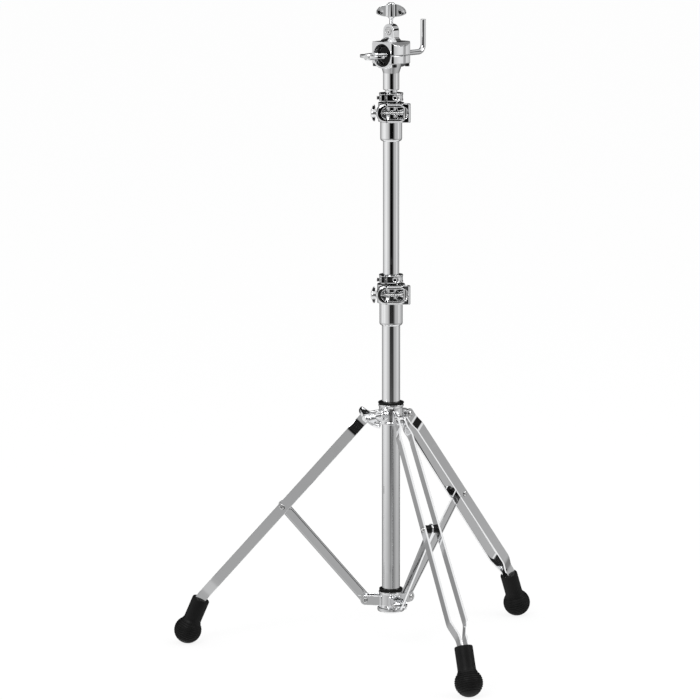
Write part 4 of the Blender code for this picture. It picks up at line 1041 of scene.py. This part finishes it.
def oval_plate(width, depth, thickness, rise):
    """Both ears as one plate in the X-Z plane, its flat side down, from this height."""
    piece = round_bar(1.0, (0, -thickness / 2, 0), (0, thickness / 2, 0), ROUND)
    bpy.ops.object.mode_set(mode="EDIT")
    bpy.ops.mesh.select_all(action="SELECT")
    bpy.ops.transform.resize(value=(width / 2, 1, depth * (1 - WING_SHOULDER)), center_override=(0, 0, 0))
    pick(lambda place: place.z < -SAME_STATION)
    bpy.ops.transform.resize(value=(1, 1, WING_SHOULDER / (1 - WING_SHOULDER)), center_override=(0, 0, 0))
    bpy.ops.object.mode_set(mode="OBJECT")
    return set_down(piece, Matrix.Translation((0, 0, rise + depth * WING_SHOULDER)))


def ball(radius, centre):
    """A fine sphere, used as a cutter."""
    return set_down(fresh(bpy.ops.mesh.primitive_uv_sphere_add, segments=64, ring_count=32, radius=radius,
                          location=centre))


def wing_head():
    """Ears and hub, standing on the origin, with the bolt's line along Z."""
    rise = (WING_HUB_LENGTH - WING_DEPTH) / 2
    low, high = -TOOL_REACH, rise + WING_DEPTH + TOOL_REACH
    piece = oval_plate(WING_SPAN, WING_DEPTH, WING_ROOT, rise)
    fillet_at = WING_HUB_RADIUS * 0.8 + WING_FILLET
    for side in (-1, 1):
        for face in (-1, 1):
            near, axis, far = [face * (WING_EAR / 2 + reach) for reach in (0, WING_FILLET, 2 * WING_FILLET)]
            root = side * fillet_at
            across, along = sorted((near, far)), sorted((root, side * WING_SPAN))
            roller = round_bar(WING_FILLET, (root, axis, low), (root, axis, high), ROUND)
            block = brick((along[0], across[0], low), (along[1], across[1], high))
            dish = ball(DISH_RADIUS, (side * (WING_SPAN / 2 - DISH_FROM_TIP),
                                      near + face * (DISH_RADIUS - DISH_DEPTH), rise + WING_DEPTH * DISH_RISE))
            cut(piece, roller, block, dish)
    tapered = WING_HUB_RADIUS * 0.94
    column = lathe([(0, 0), (WING_HUB_RADIUS * 0.80, 0), (WING_HUB_RADIUS, 0.0026), (WING_HUB_RADIUS, 0.0045),
                    (tapered, WING_HUB_LENGTH - WING_HUB_EDGE), (tapered - WING_HUB_EDGE, WING_HUB_LENGTH),
                    (0, WING_HUB_LENGTH)], 64)
    return soften(weld(piece, column), WING_SKIN, passes=5)


def thread(radius, start, end, pitch=0.0010):
    """A threaded shank along Z: fine V-shaped rings, with a chamfer at its tip."""
    rows = [(0, start), (radius - 0.0006, start), (radius - 0.0001, start + 0.0006)]
    height = start + 0.0010
    while height < end - pitch:
        rows += [(radius - 0.0004, height), (radius, height + pitch / 2)]
        height += pitch
    return lathe(rows + [(radius - 0.0002, end), (0, end)], SMALL_ROUND)


head_pattern = wing_head()
print("wing head:", len(head_pattern.data.polygons), "faces")

# %% Fit the three wing bolts
CLAMP_TURN = radians(-21.3)
HOLDER_TURN = radians(27.7)
TOP_WING_TURN = radians(-30.3)
HUB_WING_TURN = radians(-35.5)
HOLDER_RISE = 0.9501
HOLDER_BALL_RADIUS = 0.0179
BOLT_RADIUS = 0.0030
BALL_BOLT_RADIUS = 0.0035
COLLET_START = -0.0020
CLAMP_PLACE = COLUMN @ Matrix.Rotation(CLAMP_TURN, 4, "Z")
HOLDER_PLACE = COLUMN @ Matrix.Translation((0, 0, HOLDER_RISE)) @ Matrix.Rotation(HOLDER_TURN, 4, "Z")


def wing_bolt(tip, base, radius, turn=0.0):
    """A threaded shank from its tip to the winged head, which goes on along the same line."""
    tip, base = Vector(tip), Vector(base)
    along = (base - tip).normalized()
    upright = along.to_track_quat("Z", "Y").to_matrix().to_4x4() @ Matrix.Rotation(turn, 4, "Z")
    upright = Matrix.Translation(base) @ upright
    shank = set_down(thread(radius, -(base - tip).length, 0.0010), upright)
    return weld(another(head_pattern, upright), shank)


top_bolt = wing_bolt((0, 0, HOLDER_BALL_RADIUS + 2 * GAP), (0, 0, 0.0566), BOLT_RADIUS,
                     TOP_WING_TURN - HOLDER_TURN)
dress(top_bolt, "holder_wing_bolt", "forged", "holder_wing_bolt", CAST_CHROME, HOLDER_PLACE, FORGED)
ball_screw = wing_bolt((COLLET_START - 2 * GAP, 0, 0), (-0.0345, 0, 0), BALL_BOLT_RADIUS)
dress(ball_screw, "ball_wing_screw", "forged", "ball_wing_screw", CAST_CHROME, HOLDER_PLACE, FORGED)
outward = Vector((cos(HUB_BOLT_ANGLE), sin(HUB_BOLT_ANGLE), 0))
height = Vector((0, 0, TOP_PIVOT.z + HUB_BOLT_RISE))
bolt_tip = span("base_tube")[0] + HUB_BUSH_WALL + 2 * GAP
hub_bolt = wing_bolt(bolt_tip * outward + height, 0.043 * outward + height, BOLT_RADIUS, HUB_WING_TURN)
dress(hub_bolt, "hub_wing_bolt", "forged", "hub_wing_bolt", CAST_CHROME, COLUMN, FORGED)
bpy.data.objects.remove(head_pattern)

# %% [markdown]
# ## The height clamps
#
# Each clamp is a split ring with a broad racetrack boss in front. A window through the boss shows the
# bolt that closes it, and a knuckle at the right holds that bolt's barrel. The pieces are welded, the
# window is cut with a smaller racetrack, and the face is set back around a raised middle.

# %% Cast a clamp
CLAMP_LEFT = 0.0195
CLAMP_RIGHT = 0.0225
CLAMP_HALF_HEIGHT = 0.0148
CLAMP_WALL = 0.0050
CLAMP_FRONT = 0.0100
CLAMP_STEP = 0.0016
CLAMP_LIP = 0.0019
CLAMP_SKIN = 0.00048
CLAMP_FIRST_SKIN = 0.0005
WINDOW_HALF_HEIGHT = 0.0095
WINDOW_LEFT = 0.0150
KNUCKLE_RADIUS = 0.0080
BARREL_RADIUS = 0.0040
CLAMP_SLIT_X = -0.0070
CLAMP_SLIT = 0.0020
BORE_SPARE = 0.0005
CLAMP_CENTRE = (CLAMP_RIGHT - CLAMP_LEFT) / 2
CLAMP_HALF_LENGTH = (CLAMP_RIGHT + CLAMP_LEFT + KNUCKLE_RADIUS) / 2


def clamp(tube_radius, tube_top):
    """A split ring, its racetrack boss with a window and a raised face, and its knuckle."""
    low = tube_top - CLAMP_UNDER_TUBE_TOP + GAP
    high = low + CLAMP_HEIGHT - GAP
    middle = (low + high) / 2
    bore = spigot(tube_radius) + GAP
    bolt_y = -(bore + BOLT_RADIUS + GAP)
    front = bolt_y - CLAMP_FRONT / 2 - BOLT_RADIUS
    half = CLAMP_HALF_LENGTH - CLAMP_HALF_HEIGHT
    ring = lathe([(bore - BORE_SPARE, low), (bore + CLAMP_WALL, low), (bore + CLAMP_WALL, high),
                  (bore - BORE_SPARE, high)], ring=True)
    boss = racetrack(half, CLAMP_HALF_HEIGHT, front, -bore / 2, (CLAMP_CENTRE, middle))
    knuckle = round_bar(KNUCKLE_RADIUS, (CLAMP_RIGHT, bolt_y, low + GAP), (CLAMP_RIGHT, bolt_y, high - GAP))
    weld(ring, boss, knuckle)
    window_right = CLAMP_RIGHT + BARREL_RADIUS + 3 * GAP
    window = racetrack((window_right + WINDOW_LEFT) / 2 - WINDOW_HALF_HEIGHT, WINDOW_HALF_HEIGHT, 2 * front,
                       -bore * 0.8, ((window_right - WINDOW_LEFT) / 2, middle))
    step = racetrack(half, CLAMP_HALF_HEIGHT * 1.5, 2 * front, front + CLAMP_STEP, (CLAMP_CENTRE, middle))
    cut(step, racetrack(half, CLAMP_HALF_HEIGHT - CLAMP_LIP, 2.5 * front, 0, (CLAMP_CENTRE, middle)))
    bore_tool = post(bore, low - bore, high + bore, ROUND)
    barrel_hole = round_bar(BARREL_RADIUS + GAP, (CLAMP_RIGHT, bolt_y, low - GAP),
                            (CLAMP_RIGHT, bolt_y, high + GAP))
    bolt_hole = round_bar(BOLT_HOLE, (-2 * CLAMP_LEFT, bolt_y, middle), (0, bolt_y, middle), SMALL_ROUND)
    slit = brick((CLAMP_SLIT_X - CLAMP_SLIT / 2, 2 * front, low - GAP),
                 (CLAMP_SLIT_X + CLAMP_SLIT / 2, -bore / 2, high + GAP))
    tools = [step, window, bore_tool, barrel_hole, bolt_hole, slit]
    return cast(ring, tools, CLAMP_SKIN, passes=4, first_skin=CLAMP_FIRST_SKIN)


for level, (outside, _, body) in LEVELS.items():
    tube_radius, _, tube_top = span(outside)
    dress(clamp(tube_radius, tube_top), level + "_clamp", "casting", body, CAST_CHROME, CLAMP_PLACE, CAST)

# %% Turn the T-bolts and forge the wing nuts
CLAMP_LEFT_FACE = CLAMP_CENTRE - CLAMP_HALF_LENGTH
BARREL_EDGE = 0.0008
NUT_LENGTH = 0.0078
NUT_SPAN = 0.0264
NUT_HUB_RADIUS = 0.0062
NUT_THICK = 0.0053
SIDEWAYS = Matrix.Rotation(-pi / 2, 4, "Y")
ALONG = Matrix.Rotation(pi / 2, 4, "Y")


def t_bolt(centre):
    """A barrel in the knuckle, and a threaded shank that leaves it to the left."""
    half = CLAMP_HEIGHT / 2 - 4 * GAP
    barrel = lathe([(0, -half), (BARREL_RADIUS - BARREL_EDGE, -half), (BARREL_RADIUS, -half + BARREL_EDGE),
                    (BARREL_RADIUS, half - BARREL_EDGE), (BARREL_RADIUS - BARREL_EDGE, half), (0.0016, half),
                    (0.0012, half - 0.0006), (0, half - 0.0006)], 40)
    reach = centre.x - (CLAMP_LEFT_FACE - NUT_LENGTH * 0.75)
    shank = set_down(thread(BOLT_RADIUS, -reach, -0.0020), ALONG)
    eye = round_bar(BOLT_RADIUS * 1.55, (-0.0032, 0, 0), (-0.0085, 0, 0), SMALL_ROUND, end_radius=BOLT_RADIUS)
    return set_down(weld(barrel, shank, eye), Matrix.Translation(centre))


def wing_nut(centre):
    """A thick nut with two short upright ears, bored for the bolt."""
    piece = rim(oval_plate(NUT_SPAN, NUT_LENGTH * 0.9, NUT_THICK, 0), NUT_THICK * 0.42, 4, 60)
    body = lathe([(0, 0), (NUT_HUB_RADIUS, 0), (NUT_HUB_RADIUS, NUT_LENGTH * 0.7),
                  (NUT_HUB_RADIUS * 0.86, NUT_LENGTH), (0, NUT_LENGTH)], 48)
    weld(piece, body)
    cast(piece, [post(BOLT_HOLE, -TOOL_REACH, NUT_LENGTH * 0.8, SMALL_ROUND)], WING_SKIN, passes=5)
    return set_down(piece, Matrix.Translation((CLAMP_LEFT_FACE - GAP, centre.y, centre.z)) @ SIDEWAYS)


for level, (outside, _, body) in LEVELS.items():
    tube_radius, _, tube_top = span(outside)
    middle = tube_top - CLAMP_UNDER_TUBE_TOP + GAP + (CLAMP_HEIGHT - GAP) / 2
    centre = Vector((CLAMP_RIGHT, -(spigot(tube_radius) + 2 * GAP + BOLT_RADIUS), middle))
    dress(t_bolt(centre), level + "_clamp_bolt", "turned", body, ZINC, CLAMP_PLACE)
    nut = level + "_wing_nut"
    dress(wing_nut(centre), nut, "forged", nut, CAST_CHROME, CLAMP_PLACE, FORGED)

# %% [markdown]
# ## The stop rings
#
# Above each clamp sits a split ring that remembers the height. A square-headed key screw lies across its
# split in front.

# %% Cast a stop ring and turn its key screw
MEMORY_HEIGHT = 0.0122
MEMORY_RADIUS = 0.0190
MEMORY_BOSS_LEFT = 0.0160
MEMORY_BOSS_RIGHT = 0.0060
MEMORY_BOSS_REACH = 0.0238
MEMORY_BOLT_REACH = 0.0188
MEMORY_BOLT_RADIUS = 0.0024
MEMORY_SLIT_X = -0.0080
MEMORY_SLIT = 0.0020
MEMORY_SKIN = 0.00045
DIMPLE_RADIUS = 0.0032
KEY_FLANGE = ((0, 0), (0.0041, 0), (0.0044, 0.0004), (0.0044, 0.0012), (0.0038, 0.0018), (0, 0.0018))
KEY_HALF = 0.0025


def memory_ring(inner_radius, low):
    """A waisted split ring with a boss for the screw in front."""
    high = low + MEMORY_HEIGHT
    middle = (low + high) / 2
    bore = inner_radius + GAP
    screw_y, end_x, front = -MEMORY_BOLT_REACH, MEMORY_BOSS_RIGHT, -MEMORY_BOSS_REACH
    ring = waisted_ring(bore - BORE_SPARE, MEMORY_RADIUS, low, high, 0.0022, 0.0008, 0.0006)
    boss = brick((-MEMORY_BOSS_LEFT, front, low + GAP), (end_x, -bore, high - GAP))
    end = round_bar(MEMORY_HEIGHT / 2 - GAP, (end_x, front, middle), (end_x, -bore, middle))
    weld(ring, boss, end)
    bore_tool = post(bore, low - bore, high + bore, ROUND)
    hole = round_bar(MEMORY_BOLT_RADIUS + GAP, (-2 * MEMORY_BOSS_LEFT, screw_y, middle),
                     (end_x, screw_y, middle), SMALL_ROUND)
    slit = brick((MEMORY_SLIT_X - MEMORY_SLIT / 2, 2 * front, low - GAP),
                 (MEMORY_SLIT_X + MEMORY_SLIT / 2, -bore * 0.35, high + GAP))
    dimple = round_bar(DIMPLE_RADIUS, (end_x, front - 0.001, middle), (end_x, front + 0.0009, middle))
    return cast(ring, [bore_tool, hole, slit, dimple], MEMORY_SKIN, passes=4)


def key_screw(middle):
    """A threaded shank, a flange and a square key."""
    face = -MEMORY_BOSS_LEFT - GAP
    at_face = Matrix.Translation((face, 0, 0)) @ SIDEWAYS
    shank = set_down(thread(MEMORY_BOLT_RADIUS, -0.0210, 0.0), at_face)
    flange = set_down(lathe(KEY_FLANGE, 40), at_face)
    key = rim(brick((face - 0.0060, -KEY_HALF, -KEY_HALF), (face - 0.0010, KEY_HALF, KEY_HALF)), 0.0005)
    return set_down(weld(key, flange, shank), Matrix.Translation((0, -MEMORY_BOLT_REACH, middle)))


for level, ring_body in (("lower", "lower_memory_ring"), ("upper", "upper_stage")):
    inner_radius = span(LEVELS[level][1])[0]
    low = span(level + "_memory_ring")[1]
    ring = memory_ring(inner_radius, low)
    screw = key_screw(low + MEMORY_HEIGHT / 2)
    dress(ring, level + "_memory_ring", "casting", ring_body, CAST_CHROME, CLAMP_PLACE, CAST)
    dress(screw, level + "_memory_screw", "turned", level + "_memory_screw", ZINC, CLAMP_PLACE)

# %% [markdown]
# ## The ball holder
#
# The housing is two castings around a nylon ball: a base that runs down into the neck, and a cap whose
# lug carries the top wing bolt in a barrel nut. Both have round mouths front and back.

# %% Shape the housing's hollow
HOLDER_HALF_LENGTH = 0.0222
HOLDER_HALF_WIDTH = 0.0250
HOLDER_LEDGE = 0.0130
HOUSING_SKIN = 0.0005
PANEL_RADIUS = 0.0800
CORNER = 0.0022
MOUTH_START = 0.0110
MOUTH_RADIUS = 0.0146
MOUTH_FLARE = 0.30
CLEAR_ALL = 0.04


def housing_block(low, high):
    """A block with cut corners, whose two long sides bulge a little."""
    length, width = HOLDER_HALF_LENGTH, HOLDER_HALF_WIDTH
    piece = brick((-length, -width, low), (length, width, high))
    for side in (-1, 1):
        axis = side * (width - PANEL_RADIUS)
        panel = round_bar(PANEL_RADIUS, (0, axis, low - TOOL_REACH), (0, axis, high + TOOL_REACH), 360)
        trade(piece, [panel], "INTERSECT")
    side_at_end = width - PANEL_RADIUS + sqrt(PANEL_RADIUS ** 2 - length ** 2)
    return trim(piece, *[((along * (length - CORNER), across * side_at_end, 0), (along, across, 0))
                         for across in (-1, 1) for along in (-1, 1)])


def cavity_tools():
    """The ball's seat, and a funnel-shaped mouth at each side."""
    reach = HOLDER_HALF_LENGTH + 0.001
    flared = MOUTH_RADIUS + MOUTH_FLARE * (reach - MOUTH_START)
    mouths = [round_bar(MOUTH_RADIUS, (side * MOUTH_START, 0, 0), (side * reach, 0, 0), ROUND, flared)
              for side in (-1, 1)]
    return [ball(HOLDER_BALL_RADIUS + GAP, (0, 0, 0))] + mouths


# %% Cast the base and its neck
BELLY_RADIUS = 0.0205
FUNNEL_RADIUS = 0.0178
FUNNEL_END = 0.0280
NECK_TUBE_RADIUS = 0.01275
NECK_TUBE_START = 0.0270
NECK_TUBE_END = 0.0550
NECK_TUBE_EDGE = 0.0008
HOLDER_TUBE_SEAT = 0.028


def holder_base():
    """A block on a round belly that narrows into the neck."""
    split = -GAP / 2
    piece = housing_block(-HOLDER_LEDGE, split)
    belly = round_bar(BELLY_RADIUS, (-HOLDER_HALF_LENGTH, 0, 0), (HOLDER_HALF_LENGTH, 0, 0), ROUND)
    trim(belly, ((0, 0, split), (0, 0, 1)))
    funnel = post(NECK_TUBE_RADIUS, -FUNNEL_END, -HOLDER_LEDGE + GAP, ROUND, FUNNEL_RADIUS)
    neck = lathe([(0, -NECK_TUBE_END), (NECK_TUBE_RADIUS - NECK_TUBE_EDGE, -NECK_TUBE_END),
                  (NECK_TUBE_RADIUS, -NECK_TUBE_END + NECK_TUBE_EDGE), (NECK_TUBE_RADIUS, -NECK_TUBE_START),
                  (0, -NECK_TUBE_START)])
    weld(piece, belly, funnel, neck)
    bore = post(span("upper_tube")[0] + GAP, -NECK_TUBE_END - 0.001, GAP - HOLDER_TUBE_SEAT, 64)
    top = brick((-CLEAR_ALL, -CLEAR_ALL, split), (CLEAR_ALL, CLEAR_ALL, 0.03))
    return cast(piece, cavity_tools() + [bore, top], HOUSING_SKIN, passes=3)


dress(holder_base(), "holder_base", "casting", "holder", CAST_CHROME, HOLDER_PLACE, CAST)

# %% Cast the cap and its lug
CAP_SHOULDER = 0.0150
CAP_TOP = 0.0210
CAP_TOP_HALF_WIDTH = 0.0175
LUG_HALF_THICK = 0.0065
LUG_RADIUS = 0.0110
LUG_AXIS_RISE = 0.0370
LUG_FLARE = 0.0190
BARREL_NUT_RADIUS = 0.0060


def holder_cap():
    """A block with sloped shoulders, and a flared lug on top of it."""
    split = GAP / 2
    slope = (HOLDER_HALF_WIDTH - CAP_TOP_HALF_WIDTH) / (CAP_TOP - CAP_SHOULDER)
    piece = trim(housing_block(split, CAP_TOP),
                 *[((0, side * HOLDER_HALF_WIDTH, CAP_SHOULDER), (0, side, slope)) for side in (-1, 1)])
    lug = round_bar(LUG_RADIUS, (-LUG_HALF_THICK, 0, LUG_AXIS_RISE), (LUG_HALF_THICK, 0, LUG_AXIS_RISE), 64)
    web = brick((-LUG_HALF_THICK, -LUG_RADIUS, CAP_TOP - 0.002), (LUG_HALF_THICK, LUG_RADIUS, LUG_AXIS_RISE))
    bpy.ops.object.mode_set(mode="EDIT")
    bpy.ops.mesh.select_all(action="SELECT")
    bpy.ops.mesh.bisect(plane_co=(0, 0, CAP_TOP + LUG_RADIUS / 2), plane_no=(0, 0, 1))
    for side in (-1, 1):
        grab(lambda place: place.z < CAP_TOP and place.y * side > 0, (0, side * (LUG_FLARE - LUG_RADIUS), 0))
    bpy.ops.object.mode_set(mode="OBJECT")
    plinth = post(LUG_FLARE * 0.94, CAP_TOP - 0.001, CAP_TOP + LUG_RADIUS * 0.6, 64, LUG_HALF_THICK * 1.1)
    weld(piece, lug, web, plinth)
    nut_hole = round_bar(BARREL_NUT_RADIUS + GAP, (-0.013, 0, LUG_AXIS_RISE), (0.013, 0, LUG_AXIS_RISE))
    bolt_hole = post(BOLT_HOLE, 0, 2 * LUG_AXIS_RISE, SMALL_ROUND)
    base = brick((-CLEAR_ALL, -CLEAR_ALL, -0.03), (CLEAR_ALL, CLEAR_ALL, split))
    return cast(piece, cavity_tools() + [nut_hole, bolt_hole, base], HOUSING_SKIN, passes=3)


dress(holder_cap(), "holder_cap", "casting", "holder", CAST_CHROME, HOLDER_PLACE, CAST)

# %% Turn the barrel nut, the ball and the collet
COLLET_RADIUS = 0.0075
COLLET_EDGE = 0.0008
BALL_HALF_LENGTH = 0.0135
BALL_STEPS = 20
ROD_RADIUS = 0.0042


def barrel_nut():
    """A short barrel with a dimple in each end, bored across."""
    half = LUG_HALF_THICK + GAP
    side = [(0, half - 0.0026), (0.0016, half - 0.0022), (0.0024, half - 0.0008), (0.0027, half),
            (BARREL_NUT_RADIUS - 0.0006, half), (BARREL_NUT_RADIUS, half - 0.0006)]
    piece = set_down(lathe(side + [(radius, -height) for radius, height in reversed(side)], 48), ALONG)
    cut(piece, post(BOLT_HOLE, -0.02, 0.02, SMALL_ROUND))
    return set_down(piece, Matrix.Translation((0, 0, LUG_AXIS_RISE)))


def holder_ball():
    """A ball with flat ends, bored for the screw at one end and for the collet at the other."""
    start = asin(BALL_HALF_LENGTH / HOLDER_BALL_RADIUS)
    turns = [start - 2 * start * step / BALL_STEPS for step in range(BALL_STEPS + 1)]
    side = [(HOLDER_BALL_RADIUS * cos(turn), HOLDER_BALL_RADIUS * sin(turn)) for turn in turns]
    seat = COLLET_START - GAP
    bores = [(BALL_BOLT_RADIUS + GAP, -BALL_HALF_LENGTH), (BALL_BOLT_RADIUS + GAP, seat),
             (COLLET_RADIUS + GAP, seat), (COLLET_RADIUS + GAP, BALL_HALF_LENGTH)]
    return set_down(lathe(side + bores, ring=True), ALONG)


def collet():
    """The sleeve in the ball that grips the rod."""
    profile = [(ROD_RADIUS + GAP, COLLET_START), (COLLET_RADIUS, COLLET_START),
               (COLLET_RADIUS, BALL_HALF_LENGTH - COLLET_EDGE),
               (COLLET_RADIUS - COLLET_EDGE, BALL_HALF_LENGTH),
               (ROD_RADIUS + 2 * GAP, BALL_HALF_LENGTH), (ROD_RADIUS + GAP, BALL_HALF_LENGTH - GAP)]
    return set_down(lathe(profile, 48, ring=True), ALONG)


dress(barrel_nut(), "holder_barrel_nut", "turned", "holder", ZINC, HOLDER_PLACE)
dress(holder_ball(), "holder_ball", "moulded", "holder_ball", NYLON, HOLDER_PLACE)
dress(collet(), "rod_collet", "moulded", "holder_ball", NYLON, HOLDER_PLACE)

# %% Bend the rod
ROD_REACH = 0.0760
ROD_RISE = 0.0508
ROD_BEND = 0.0110
ROD_START = -0.0010
ROD_CHAMFER = 0.0006
ROD_STEPS = 16


def drum_rod():
    """A circle that is extruded outwards, spun through a right angle, and extruded up to a chamfered end."""
    piece = set_down(fresh(bpy.ops.mesh.primitive_circle_add, vertices=40, radius=ROD_RADIUS, fill_type="NGON",
                           rotation=(0, pi / 2, 0), location=(ROD_START, 0, 0)))
    bpy.ops.object.mode_set(mode="EDIT")
    bpy.ops.mesh.select_all(action="SELECT")
    straight = ROD_REACH - ROD_BEND - ROD_START
    bpy.ops.mesh.extrude_region_move(TRANSFORM_OT_translate={"value": (straight, 0, 0)})
    centre = (ROD_REACH - ROD_BEND, 0, ROD_BEND)
    for _ in range(ROD_STEPS):
        bpy.ops.mesh.extrude_region_move(TRANSFORM_OT_translate={"value": (0, 0, 0)})
        bpy.ops.transform.rotate(value=pi / 2 / ROD_STEPS, orient_axis="Y", center_override=centre)
    for rise in (ROD_RISE - ROD_BEND - ROD_CHAMFER, ROD_CHAMFER):
        bpy.ops.mesh.extrude_region_move(TRANSFORM_OT_translate={"value": (0, 0, rise)})
    narrow = 1 - ROD_CHAMFER / ROD_RADIUS
    bpy.ops.transform.resize(value=(narrow, narrow, 1), center_override=(ROD_REACH, 0, ROD_RISE))
    close_up(0.00001)
    bpy.ops.mesh.normals_make_consistent(inside=False)
    bpy.ops.object.mode_set(mode="OBJECT")
    return piece


dress(drum_rod(), "drum_rod", "bent", "drum_rod", TUBE_CHROME, HOLDER_PLACE)

# %% Turn four screws under the housing
SCREW_X = 0.0150
SCREW_Y = 0.0200
SCREW_LOW = -0.0180
SCREW_RADIUS = 0.0036
CORNERS = {"front_right": (-1, -1), "front_left": (-1, 1), "back_right": (1, -1), "back_left": (1, 1)}


def housing_screw(x, y):
    """A dark socket screw that closes the housing from below."""
    low, high = SCREW_LOW, -HOLDER_LEDGE - GAP
    piece = lathe([(0, low + 0.0020), (0.0017, low + 0.0020), (0.0019, low), (0.0031, low),
                   (SCREW_RADIUS, low + 0.0006), (SCREW_RADIUS, high), (0, high)], SMALL_ROUND)
    return set_down(piece, Matrix.Translation((x, y, 0)))


for corner, (x, y) in CORNERS.items():
    screw = housing_screw(x * SCREW_X, y * SCREW_Y)
    dress(screw, "housing_screw", corner, "holder", DARK_STEEL, HOLDER_PLACE)

# %% Finish the nodes that stay
FINISH_OF_SLOT = {"chrome": CAST_CHROME, "bright_steel": ZINC, "black_rubber": RUBBER, "black_nylon": NYLON}
slot_of = {row["node"]: row["material_slot"] for row in frame["record"]["subparts"]}
for name, node in frame["nodes"].items():
    node.data.materials.clear()
    node.data.materials.append(FINISH_OF_SLOT[slot_of[name]])
